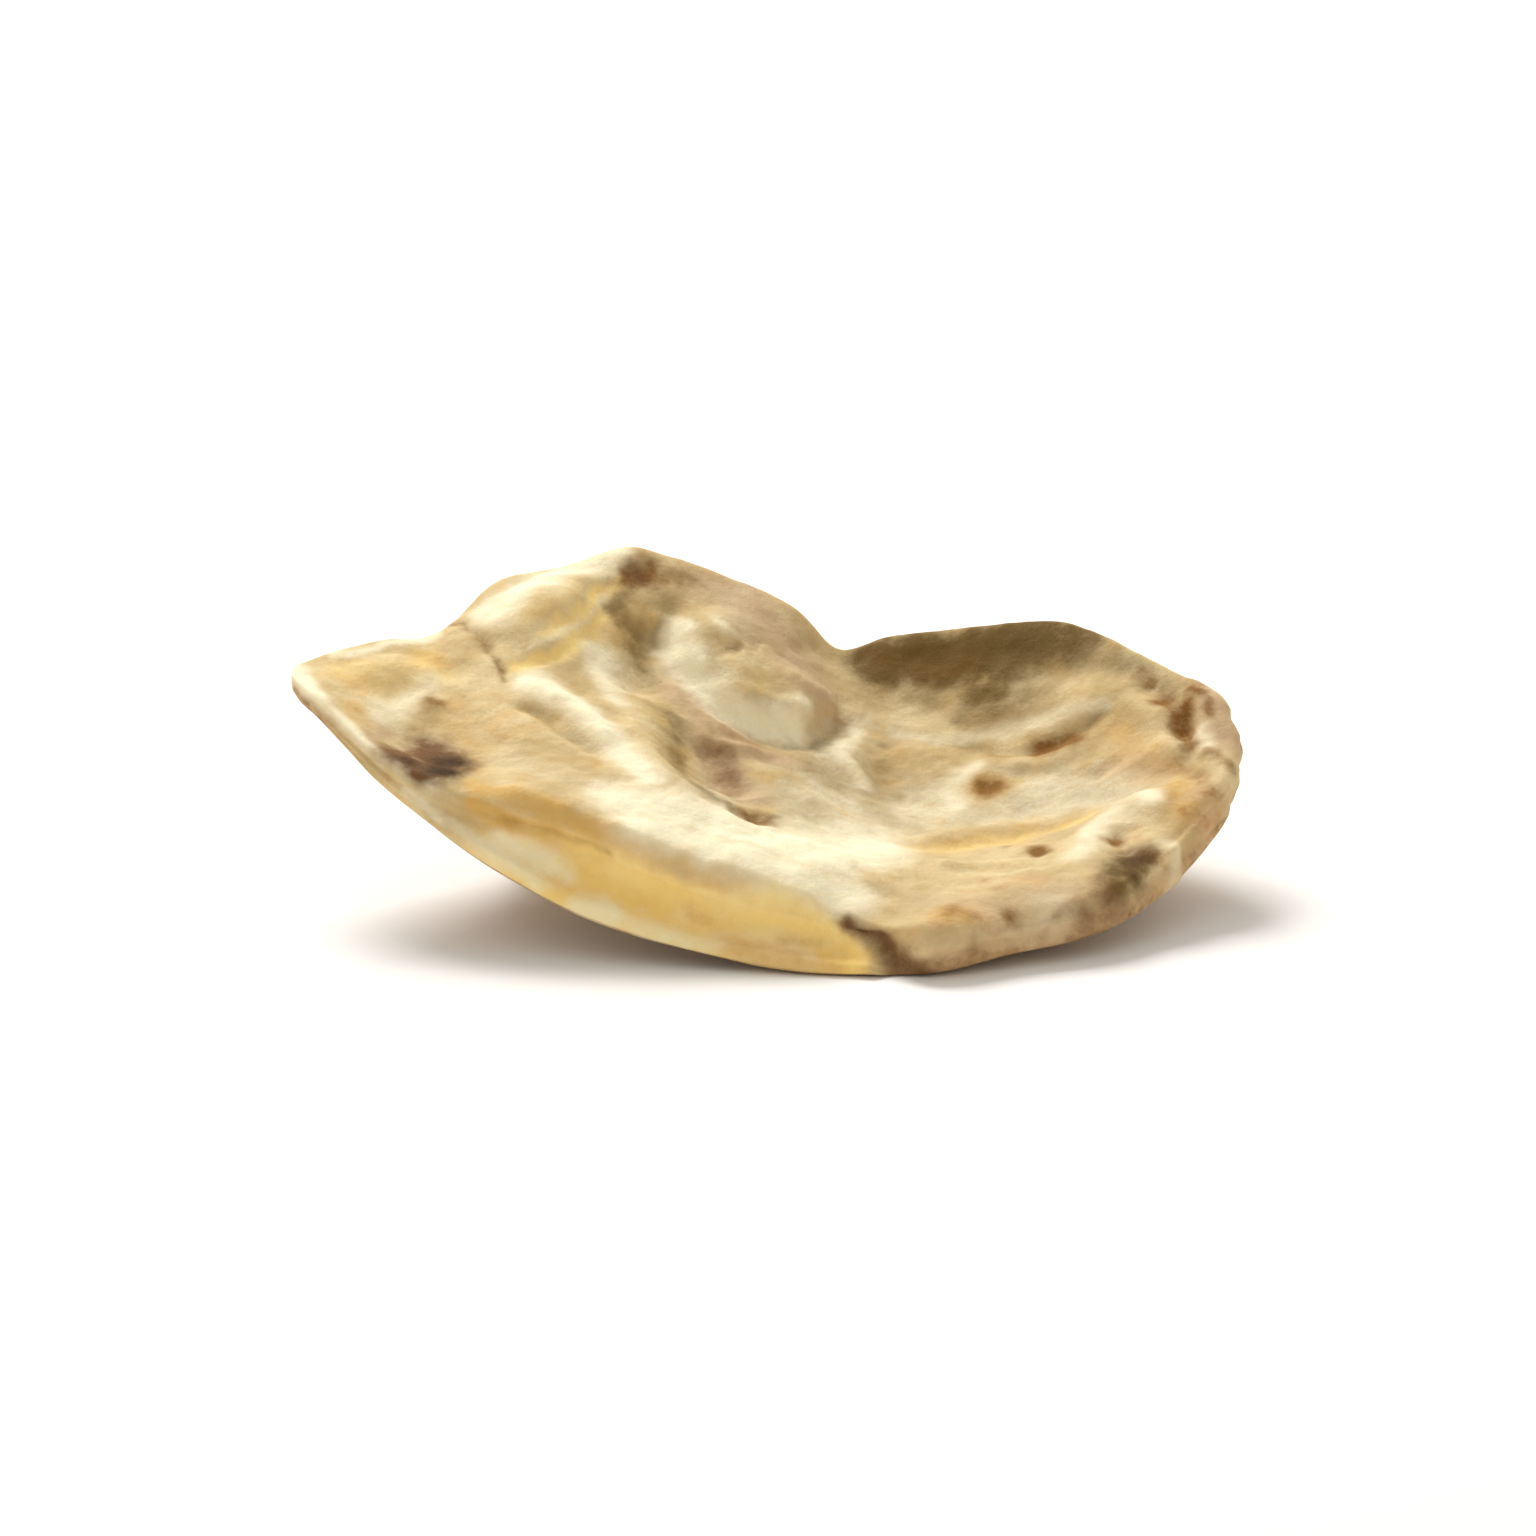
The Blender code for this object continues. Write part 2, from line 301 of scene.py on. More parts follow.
@dataclass(frozen=True)
class Ledge:
    """A step along a line: steep at the line, sinking back gently on the left of it."""

    course: tuple[Plan, ...]
    rise: float
    run: float
    height: float
    taper: float = 5.0
    steepness: float = 1.5

    def lift(self, xy: np.ndarray) -> np.ndarray:
        """Read how far the ledge raises points.

        Args:
            xy: Points laid flat.

        Returns:
            One height for each point.
        """
        raised = np.zeros(len(xy))
        inside, gap, along = near_line(xy, self.course, STEP_REACH * self.run)
        fade = smooth_step(np.minimum(along, 1 - along) * self.taper)
        behind = np.maximum(gap, 0)
        step = 1 - np.exp(-((behind / self.rise) ** self.steepness))
        raised[inside] = self.height * fade * step * bell(behind, self.run)
        return raised


@dataclass(frozen=True)
class Mound:
    """A round swelling, or a pit where the height is negative."""

    place: Plan
    half_widths: Plan
    turn: float
    height: float
    flank: float = 0.9

    def lift(self, xy: np.ndarray) -> np.ndarray:
        """Read how far the mound raises points.

        Args:
            xy: Points laid flat.

        Returns:
            One height for each point.
        """
        angle = math.radians(self.turn)
        dx, dy = xy[:, 0] - self.place[0], xy[:, 1] - self.place[1]
        across = (dx * math.cos(angle) + dy * math.sin(angle)) / self.half_widths[0]
        along = (dy * math.cos(angle) - dx * math.sin(angle)) / self.half_widths[1]
        return self.height * smooth_step((1 - np.hypot(across, along)) / self.flank)


@dataclass(frozen=True)
class StainAndPaintedLight:
    """A coloured streak along a line, or a spot where the line is one point; it carries stains and
    marks of the flesh as well as painted shade and painted highlight.
    """

    course: tuple[Plan, ...]
    half_width: float
    strength: float

    def cover(self, xy: np.ndarray) -> np.ndarray:
        """Read how strongly the stroke colours points.

        Args:
            xy: Points laid flat.

        Returns:
            One strength for each point.
        """
        colour = np.zeros(len(xy))
        inside, gap, _along = near_line(xy, self.course, STEP_REACH * self.half_width)
        colour[inside] = self.strength * bell(gap, self.half_width)
        return colour


@dataclass(frozen=True)
class Blots:
    """Round spots of one size and strength, stains as well as painted shade and painted highlight,
    which may cross from one side to the next.
    """

    places: tuple[Plan, ...]
    half_width: float
    strength: float

    def cover(self, points: np.ndarray, middle: np.ndarray) -> np.ndarray:
        """Give how strongly the blot round a middle colours points in space."""
        return self.strength * bell(distance(points, middle), self.half_width)


# Stations round the rim, anticlockwise from the right end: x, y, height of the cut face's edge,
# depth of the edge band below it, how far the bark lip stands out past it, and how far the band
# is drawn in at half its depth (less than zero where it swells).
RIM = (
    (15.6, 1.2, 5.1, 1.7, -0.2, -0.25),
    (14.9, 3.8, 6.2, 1.6, -0.3, -0.25),
    (13.0, 6.4, 6.8, 1.7, -0.2, -0.2),
    (10.2, 8.4, 7.5, 1.9, -0.2, -0.2),
    (7.0, 9.2, 7.05, 2.0, -0.2, -0.2),
    (4.2, 9.3, 6.6, 2.0, -0.2, -0.2),
    (2.4, 9.0, 6.4, 2.1, -0.2, -0.2),
    (1.2, 9.2, 7.6, 2.4, -0.2, -0.2),
    (-1.8, 9.3, 9.0, 2.8, -0.2, -0.2),
    (-4.8, 9.0, 9.95, 3.0, -0.2, -0.2),
    (-6.9, 8.2, 9.4, 2.8, -0.2, -0.15),
    (-9.2, 7.0, 9.2, 2.4, -0.2, -0.1),
    (-10.5, 5.4, 8.25, 1.9, -0.1, -0.1),
    (-11.4, 4.3, 7.9, 1.6, -0.1, -0.1),
    (-13.2, 3.1, 8.0, 1.2, -0.1, -0.1),
    (-15.2, 1.4, 7.9, 0.8, -0.1, -0.05),
    (-15.8, 0.3, 7.8, 0.7, -0.1, -0.05),
    (-15.0, -1.4, 7.5, 0.8, 0.0, 0.0),
    (-12.9, -3.8, 6.2, 1.1, 0.1, 0.1),
    (-9.9, -5.6, 5.1, 1.8, 0.3, 0.35),
    (-6.4, -6.9, 4.2, 2.5, 0.6, 0.55),
    (-2.7, -7.7, 2.9, 2.2, 0.8, 0.55),
    (1.0, -8.3, 1.9, 1.75, 0.9, 0.4),
    (3.4, -8.6, 1.6, 1.6, 0.8, 0.2),
    (5.2, -9.3, 1.8, 1.7, 0.0, -0.2),
    (8.0, -8.6, 2.3, 1.9, -0.1, -0.3),
    (11.3, -6.6, 2.8, 2.0, 0.0, -0.3),
    (13.6, -4.1, 3.7, 2.2, 0.0, -0.3),
    (15.1, -1.4, 4.5, 1.9, -0.1, -0.3),
)

# Steps by which the rim is measured between two stations, and the share its direction is read over.
RIM_STEPS = 40
RIM_NUDGE = 0.002

# Heights of the cut face inside the rim: x, y, z.
FACE_SPOTS = (
    (6.0, -2.0, 2.3), (7.5, 2.5, 3.0), (4.5, 5.0, 3.9), (9.5, 5.0, 4.3), (4.0, 7.5, 4.9),
    (12.0, 0.5, 3.6), (10.5, -3.5, 2.7), (0.5, -6.0, 3.2), (-4.5, -5.0, 4.8), (-8.0, -1.5, 6.0),
    (-0.2, -3.0, 3.7), (1.5, 1.0, 3.9), (-2.0, 2.0, 5.2), (-4.5, 4.0, 7.0), (-8.0, 4.5, 8.5),
    (-0.5, 6.5, 6.6), (-12.0, 0.5, 6.9), (-11.5, -2.0, 5.85),
)

# Heights of the bark side inside the rim: x, y, z. Spots below zero press flat on the table.
BARK_SPOTS = (
    (6.0, -3.0, -0.1), (8.5, 0.5, -0.1), (4.0, 2.5, 0.8), (8.0, 5.0, 2.0), (12.0, 1.5, 1.4),
    (0.0, -3.0, 0.9), (-3.0, -3.0, 1.6), (-8.0, -2.0, 3.2), (-12.0, 0.0, 5.0), (-5.5, 4.5, -0.3),
    (-8.5, 5.0, 2.2), (-2.2, 6.0, 1.8), (-5.2, 7.6, 3.2), (-5.5, 1.5, 0.9),
)

FACE_FORMS = (
    # the rounded shoulder above the edge band
    Fold(((-10.0, -4.6), (-7.2, -5.9), (-4.7, -6.6), (-2.2, -7.0), (0.7, -7.4), (2.4, -7.8)),
         1.1, 0.45),
    # the two lines in the left lobe, the thin ridge between them and the step beside them
    Fold(((-7.6, 3.6), (-6.9, 4.6), (-6.2, 5.9), (-5.6, 6.8), (-4.9, 7.4)), 0.32, -0.17),
    Fold(((-8.4, 2.9), (-7.3, 3.4), (-6.6, 4.4), (-6.0, 5.6), (-5.1, 6.9)), 0.4, 0.1),
    Fold(((-8.7, 2.2), (-7.4, 2.6), (-6.6, 3.4), (-6.1, 4.6), (-5.5, 5.9), (-4.8, 6.9)), 0.45, -0.25),
    Ledge(((-4.6, 7.2), (-5.6, 5.4), (-6.2, 3.7), (-7.2, 2.4), (-8.6, 1.9)), 0.6, 1.4, -0.4),
    # the hollow beside the tongue, deepest along the tongue's edge
    Fold(((-4.4, 2.4), (-3.9, 4.4), (-3.6, 6.2)), 0.7, -0.4),
    # the tongue: its body, its steep left and lower edge, and its bright flank
    Mound((-0.3, 6.1), (3.1, 3.5), 0.0, 0.55, 0.8),
    Ledge(((-2.9, 7.6), (-3.2, 6.6), (-3.35, 5.5), (-2.9, 4.5), (-1.9, 3.6), (-0.9, 3.15), (0.3, 3.2),
           (1.3, 3.7), (1.9, 4.6), (2.4, 5.8), (2.5, 7.4)), 0.5, 2.4, 0.66),
    Fold(((-3.5, 5.5), (-3.1, 4.3), (-2.1, 3.3), (-0.9, 2.8), (0.4, 2.8), (1.6, 3.4), (2.3, 4.4)),
         0.25, -0.12),
    # the knob, the dents and the low end of the tongue
    Mound((-1.8, 6.6), (0.85, 0.9), 0.0, 0.26),
    Fold(((-2.4, 5.3), (-1.8, 5.6), (-1.1, 6.2)), 0.35, -0.14),
    Fold(((0.4, 7.1), (1.1, 7.8), (1.8, 8.5)), 0.35, -0.12),
    Mound((0.6, 6.0), (1.0, 0.8), 30.0, -0.12),
    Mound((0.9, 4.1), (1.1, 0.9), 20.0, 0.25),
    # the crack at the root of the tip; the tip's side stands higher
    Fold(((-10.9, 5.0), (-10.2, 4.4), (-9.4, 3.4), (-8.9, 2.4), (-8.9, 1.4)), 0.15, -0.1),
    Ledge(((-8.8, 1.3), (-8.8, 2.4), (-9.3, 3.4), (-10.1, 4.4), (-10.8, 5.0)), 0.35, 1.2, 0.12),
    # the bright ridge and the groove between the lobe and the front shoulder, and two low ridges
    Fold(((-8.6, 1.5), (-7.4, 1.2), (-6.5, 0.4), (-5.7, -0.8), (-4.9, -2.2)), 0.55, 0.3),
    Fold(((-8.8, 0.3), (-7.7, 0.0), (-6.8, -0.7), (-5.9, -1.8), (-5.1, -3.0)), 0.4, -0.24),
    Fold(((-13.9, 0.9), (-12.4, 1.6), (-10.8, 1.7)), 0.5, 0.25),
    Fold(((-4.4, 1.2), (-4.2, -0.6), (-3.6, -2.4), (-2.6, -4.0)), 0.55, 0.2),
    # the valley below the tongue, its steep brink and its tail
    Fold(((-2.2, 2.2), (-2.0, 0.6), (-1.5, -0.8), (-0.8, -2.0)), 0.8, -0.5),
    Ledge(((-1.4, -3.7), (-2.4, -3.3), (-3.1, -2.2), (-3.4, -0.8), (-3.3, 0.8), (-3.3, 1.9)),
          1.0, 1.8, 0.18),
    Fold(((-1.4, -3.4), (-0.7, -3.5), (0.0, -2.7)), 0.4, -0.18),
    Fold(((-2.6, 1.8), (-1.2, 1.4), (0.2, 1.8)), 0.35, 0.22),
    # the ridges and grooves of the right dish
    Fold(((4.6, 5.8), (6.8, 5.9), (8.5, 6.2), (10.1, 5.7), (11.8, 5.3), (12.7, 4.2)), 0.6, 0.18),
    Fold(((3.4, 5.9), (4.6, 5.6), (6.0, 6.2)), 0.45, 0.14),
    Fold(((6.6, 5.2), (8.1, 4.7), (9.5, 4.45), (10.7, 4.6), (11.6, 4.9)), 0.25, -0.1),
    Fold(((8.4, 5.4), (9.6, 5.2), (10.9, 5.3)), 0.35, 0.1),
    Fold(((6.8, 3.9), (8.4, 3.8), (10.0, 3.7), (11.2, 4.0)), 0.5, 0.14),
    Fold(((4.6, -2.6), (5.9, -1.9), (7.4, -1.3), (9.2, -1.1), (11.0, -1.0)), 0.4, -0.12),
    Fold(((4.9, -1.6), (6.4, -0.9), (8.2, -0.3), (10.4, -0.1)), 0.5, 0.14),
    Fold(((5.2, -4.4), (7.2, -3.9), (9.0, -4.2)), 0.5, 0.2),
    Fold(((3.2, 4.8), (2.9, 3.0), (3.6, 1.2)), 0.5, 0.14),
    Fold(((4.3, 3.6), (4.1, 2.0), (4.9, 0.6)), 0.45, -0.12),
    Fold(((9.6, 2.6), (10.9, 2.2), (12.0, 2.8)), 0.4, -0.14),
    # the raised rim at the right
    Fold(((12.4, 0.0), (11.6, -1.2), (11.0, -2.6), (10.5, -3.9), (10.0, -5.4)), 0.9, 0.24),
    Fold(((12.6, 5.2), (13.3, 3.0), (13.2, 0.8)), 0.6, 0.2),
    Fold(((11.9, -2.4), (11.9, -3.4), (12.0, -4.6)), 0.5, -0.2),
    # the left lobe and the brown hollow at its top
    Mound((-7.1, 5.8), (2.6, 1.6), 48.0, 0.5),
    Mound((-4.1, 7.9), (1.2, 0.9), 25.0, -0.22),
    # the stub in the root knot on the tip, and the bump behind it
    Mound((-11.5, -2.4), (0.6, 0.7), 0.0, 0.08),
    Mound((-11.1, 0.3), (0.6, 0.6), 0.0, 0.12),
    # the small pit in the dish, with its swollen brink, and a speck
    Mound((7.45, 2.5), (1.3, 1.6), 0.0, 0.14),
    Mound((7.45, 2.45), (0.6, 0.9), 0.0, -0.08),
    Mound((9.0, -3.1), (0.5, 0.7), 0.0, -0.05),
    # the knob of the right rim
    Mound((12.8, -1.2), (1.3, 1.5), 0.0, 0.25),
    # the broken end: the chunk that stands out, and the wedge that parts it from the face
    Mound((14.8, 1.8), (1.0, 1.9), 10.0, 0.35, 0.6),
    Fold(((12.4, 6.1), (13.2, 4.9), (13.7, 3.6), (14.0, 2.4), (14.3, 1.2)), 0.3, -0.3),
    Fold(((14.2, 0.0), (14.9, -0.6), (15.3, -1.4)), 0.3, -0.25),
)

# Forms on the edge band, laid out flat: millimetres round the rim, millimetres down the band.
EDGE_FORMS = (
    # the lip along the foot of the front band, and the trough above it
    Fold(((47.0, 1.7), (50.0, 1.85), (53.0, 1.9), (56.5, 1.9), (60.0, 1.85), (63.0, 1.9), (65.0, 2.1)),
         0.25, 0.22),
    Fold(((50.0, 0.6), (53.0, 0.85), (57.0, 1.0), (61.0, 0.9), (63.0, 0.8)), 0.5, -0.2),
    Fold(((49.2, 0.3), (51.0, 0.4), (53.0, 0.3), (54.5, 0.3)), 0.18, -0.15),
    # the split, with its left side curled up
    Fold(((62.7, -0.2), (63.3, 0.3), (64.2, 1.1), (65.2, 2.4)), 0.55, -0.42),
    Fold(((61.9, 0.2), (62.7, 0.9), (63.8, 1.8), (64.5, 2.4)), 0.35, 0.16),
    # the low ridge right of the dark patch
    Fold(((76.4, 0.2), (76.2, 1.2), (75.8, 2.2)), 0.35, 0.2),
)

# Coloured strokes in plan on the cut face, by colour area: stains and marks of the flesh, painted shade
# and painted highlight.
FACE_STAINS_AND_PAINTED_LIGHT: dict[Tint, tuple[StainAndPaintedLight, ...]] = {
    # painted highlight over pale flesh: the bright shoulder, the pale ridges, the tongue's flank and
    # the rim of the tip
    Tint.PALE_AND_HIGHLIGHT: (
        StainAndPaintedLight(((-8.4, -3.0), (-6.6, -4.2), (-4.9, -4.9)), 1.1, 0.3),
        StainAndPaintedLight(((-4.9, -4.9), (-2.4, -5.2), (0.1, -5.4), (2.0, -5.6)), 1.3, 0.9),
        StainAndPaintedLight(((-2.6, -5.0), (0.0, -5.0), (2.6, -4.4), (3.4, -2.6)), 1.6, 0.95),
        StainAndPaintedLight(((-8.0, 1.4), (-6.9, 0.9), (-6.0, 0.0), (-5.0, -1.6), (-4.0, -3.4)), 0.7, 0.9),
        StainAndPaintedLight(((-3.1, 5.9), (-2.9, 4.9), (-2.3, 4.0), (-1.4, 3.4), (-0.2, 3.2), (0.9, 3.6)), 0.55, 0.8),
        StainAndPaintedLight(((-9.3, 4.8), (-8.0, 6.1), (-6.7, 7.6), (-5.2, 8.4)), 0.9, 0.8),
        StainAndPaintedLight(((-7.9, 3.0), (-6.8, 4.1), (-6.0, 5.6), (-5.2, 6.8)), 0.22, 0.4),
        StainAndPaintedLight(((-15.8, 0.4), (-15.2, -1.2), (-14.3, -2.5), (-13.0, -4.0), (-11.4, -5.2)), 0.5, 0.9),
        StainAndPaintedLight(((-14.4, 1.8), (-13.0, 2.8), (-11.3, 4.0)), 0.35, 0.7),
        StainAndPaintedLight(((-12.9, -1.0), (-12.0, 0.2), (-11.3, 1.0)), 0.65, 0.6),
        StainAndPaintedLight(((11.6, -1.6), (11.2, -2.6), (10.4, -4.4)), 0.7, 0.65),
        StainAndPaintedLight(((12.7, -1.3),), 0.65, 0.8),
        StainAndPaintedLight(((-1.8, 6.5),), 0.45, 0.6),
        StainAndPaintedLight(((0.9, 3.8), (1.0, 4.4)), 0.5, 0.6),
        StainAndPaintedLight(((3.0, 4.8), (2.6, 3.2), (3.2, 1.6)), 0.4, 0.5),
        StainAndPaintedLight(((6.3, 1.4), (6.3, 2.6), (7.2, 3.9)), 0.5, 0.55),
        StainAndPaintedLight(((-5.6, 3.9), (-5.5, 2.9), (-5.0, 1.6)), 0.7, 0.6),
        StainAndPaintedLight(((4.4, 5.2), (6.4, 5.3), (8.4, 5.6), (10.2, 5.3), (11.6, 5.0)), 0.38, 0.5),
        StainAndPaintedLight(((-4.4, -6.0), (-2.0, -6.5), (0.6, -6.8), (2.8, -7.2)), 1.0, 0.85),
        StainAndPaintedLight(((14.7, 3.4),), 0.4, 0.5),
        StainAndPaintedLight(((14.5, 2.2), (14.7, 1.2)), 0.35, 0.55),
    ),
    # the greyer flesh of the dish, the hollow and the tongue's flank
    Tint.GREY: (
        StainAndPaintedLight(((1.0, -1.5), (4.5, 1.0), (8.0, 2.2), (11.0, 1.0)), 3.4, 0.8),
        StainAndPaintedLight(((2.6, 3.4), (3.4, 4.8)), 1.6, 0.9),
        StainAndPaintedLight(((-5.4, 4.4), (-5.0, 3.2)), 0.9, 0.8),
        StainAndPaintedLight(((-3.1, 5.6), (-2.3, 4.0), (-1.0, 3.3), (0.4, 3.5)), 0.8, 1.0),
        StainAndPaintedLight(((-1.2, 8.4), (-0.6, 7.4)), 1.2, 0.7),
    ),
    # the tip, the lines of the lobe and of the dish
    Tint.OCHRE: (
        StainAndPaintedLight(((-14.2, 0.7), (-12.6, 0.9), (-11.4, 1.6)), 1.3, 0.45),
        StainAndPaintedLight(((-7.4, 3.8), (-6.8, 4.7), (-6.1, 5.9), (-5.5, 6.8), (-4.9, 7.3)), 0.32, 0.7),
        StainAndPaintedLight(((-8.4, 2.3), (-7.4, 2.7), (-6.6, 3.5), (-6.1, 4.7), (-5.5, 5.9)), 0.4, 0.75),
        StainAndPaintedLight(((-8.2, 4.4), (-7.2, 5.4), (-6.6, 6.4)), 0.7, 0.35),
        StainAndPaintedLight(((4.9, -2.4), (6.0, -1.8), (7.4, -1.2), (9.2, -1.0), (10.8, -0.8)), 0.34, 0.5),
        StainAndPaintedLight(((-1.0, -8.1), (0.6, -7.8), (1.9, -8.2)), 0.5, 0.8),
    ),
    # the yellower flesh of the tip, below the shoulder and along the right rim
    Tint.WARM: (
        StainAndPaintedLight(((-13.8, -2.6), (-13.6, -1.2)), 0.6, 0.5),
        StainAndPaintedLight(((-11.3, 2.4),), 0.8, 0.7),
        StainAndPaintedLight(((-10.4, 0.2), (-9.9, -2.2), (-9.6, -3.8)), 0.9, 0.45),
        StainAndPaintedLight(((-9.6, -4.9), (-7.6, -5.9), (-5.4, -6.7)), 0.5, 0.75),
        StainAndPaintedLight(((-5.4, -6.8), (-2.4, -7.5), (1.4, -8.0)), 0.45, 0.6),
        StainAndPaintedLight(((-5.1, 5.2), (-4.5, 6.2)), 1.0, 0.45),
        StainAndPaintedLight(((4.0, 3.4), (7.4, 4.6), (10.6, 4.4)), 1.8, 0.4),
        StainAndPaintedLight(((4.6, -2.4), (7.4, -1.2), (10.6, -0.6)), 1.0, 0.5),
        StainAndPaintedLight(((11.8, 3.6), (12.6, 2.0), (13.6, 0.0), (13.9, -2.0)), 1.0, 0.6),
        StainAndPaintedLight(((7.45, 2.45),), 1.1, 0.8),
    ),
    # painted shade in the folds of the dish, at the foot of the tongue, along the brink of the valley
    # and over the dish
    Tint.OLIVE_SHADE: (
        StainAndPaintedLight(((-4.9, 6.4), (-4.4, 5.6), (-4.1, 4.6)), 0.8, 0.6),
        StainAndPaintedLight(((-4.9, 6.8), (-4.2, 6.9), (-3.4, 7.0)), 0.8, 0.45),
        StainAndPaintedLight(((-3.3, 6.8), (-3.7, 5.7), (-3.9, 4.9), (-3.6, 3.6)), 0.4, 0.5),
        StainAndPaintedLight(((-3.2, 1.9), (-3.1, 0.6), (-3.1, -1.0), (-2.6, -2.2), (-2.0, -3.0),
               (-1.2, -3.4)), 0.6, 0.6),
        StainAndPaintedLight(((6.4, 5.1), (8.1, 4.6), (9.5, 4.4), (10.7, 4.6), (11.4, 4.9)), 0.5, 0.5),
        StainAndPaintedLight(((4.0, 4.4),), 0.45, 0.45),
        StainAndPaintedLight(((2.7, 0.5),), 0.5, 0.35),
        StainAndPaintedLight(((-8.3, 0.2), (-7.7, 0.0), (-6.8, -0.7), (-5.9, -1.8)), 0.4, 0.35),
        StainAndPaintedLight(((0.6, 2.8), (1.6, 3.2), (2.4, 4.4), (2.7, 5.6)), 0.4, 0.55),
        StainAndPaintedLight(((4.5, 3.4), (7.5, 4.4), (10.5, 4.2)), 1.5, 0.3),
        StainAndPaintedLight(((1.6, 1.6), (4.0, 2.6)), 1.6, 0.42),
        StainAndPaintedLight(((8.6, 1.4), (11.2, 0.8), (12.6, -0.4)), 1.5, 0.3),
        StainAndPaintedLight(((6.6, 6.2), (7.6, 6.4), (8.6, 6.5)), 0.8, 0.55),
        StainAndPaintedLight(((12.6, 6.0), (13.6, 5.0), (14.3, 4.2)), 0.8, 0.45),
    ),
    # the pinkish tongue, and painted shade in the valley under it
    Tint.PINK: (
        StainAndPaintedLight(((-1.6, 8.6), (-0.4, 7.8), (0.7, 6.8), (1.3, 5.8)), 1.6, 0.75),
        StainAndPaintedLight(((-2.9, 3.6), (-2.0, 2.6), (-0.8, 1.9), (0.2, 1.6)), 0.9, 0.9),
        StainAndPaintedLight(((-1.6, 1.2), (-1.3, -0.4), (-0.6, -1.6)), 0.9, 0.8),
        StainAndPaintedLight(((-13.4, -3.2), (-12.8, -2.2), (-12.6, -1.4)), 0.4, 0.8),
        StainAndPaintedLight(((5.0, -7.2), (7.6, -7.6), (10.0, -6.6)), 1.0, 0.5),
        StainAndPaintedLight(((11.5, 2.5), (12.5, 1.5), (13.3, 0.3)), 0.6, 0.6),
        StainAndPaintedLight(((14.9, 2.6), (15.3, 1.4)), 0.9, 0.9),
    ),
    # brown specks and cracks, and painted shade in the hollows
    Tint.BROWN: (
        StainAndPaintedLight(((-5.0, 7.3), (-4.1, 7.8), (-3.2, 8.1), (-2.4, 8.4)), 0.5, 0.5),
        StainAndPaintedLight(((-4.6, 7.5), (-3.7, 8.0)), 0.6, 0.75),
        StainAndPaintedLight(((-11.1, 0.3),), 0.42, 0.7),
        StainAndPaintedLight(((-10.8, 4.9), (-10.2, 4.3), (-9.4, 3.3), (-8.95, 2.4), (-8.9, 1.6)), 0.2, 0.55),
        StainAndPaintedLight(((-2.3, 5.2), (-1.8, 5.5), (-1.1, 6.1)), 0.25, 0.4),
        StainAndPaintedLight(((-1.9, 1.8), (-1.5, 0.6), (-1.2, -0.6)), 0.8, 0.4),
        StainAndPaintedLight(((-1.2, 2.2), (-0.2, 2.0)), 0.7, 0.45),
        StainAndPaintedLight(((-0.7, -3.3), (-0.1, -2.9)), 0.5, 0.75),
        StainAndPaintedLight(((2.4, 5.3),), 0.35, 0.5),
        StainAndPaintedLight(((7.45, 2.45),), 0.72, 0.95),
        StainAndPaintedLight(((7.9, -2.1),), 0.5, 0.5),
        StainAndPaintedLight(((9.0, -3.1),), 0.5, 0.95),
        StainAndPaintedLight(((9.3, 4.4), (10.2, 4.3)), 0.5, 1.0),
        StainAndPaintedLight(((3.6, 8.6), (5.2, 8.3), (7.0, 8.0)), 0.6, 0.35),
        StainAndPaintedLight(((12.6, 5.9), (13.1, 5.3)), 0.28, 0.6),
        StainAndPaintedLight(((13.3, 4.4), (13.8, 3.3), (14.0, 2.3), (14.3, 1.4)), 0.34, 0.8),
        StainAndPaintedLight(((13.8, 3.5), (13.9, 2.7)), 0.45, 0.95),
        StainAndPaintedLight(((13.9, 1.0), (14.5, -0.6), (15.0, -1.8)), 0.5, 0.45),
        StainAndPaintedLight(((14.1, 4.0), (14.7, 3.2), (14.9, 2.5)), 0.18, 0.7),
        StainAndPaintedLight(((14.6, 0.7), (15.2, 0.3), (15.6, -0.2)), 0.3, 0.6),
    ),
    # painted shade at the deepest place of the valley and of the lobe
    Tint.CREASE: (
        StainAndPaintedLight(((-4.4, 7.6),), 0.5, 0.55),
        StainAndPaintedLight(((-1.5, 0.7), (-1.2, -0.1)), 0.8, 0.6),
    ),
}

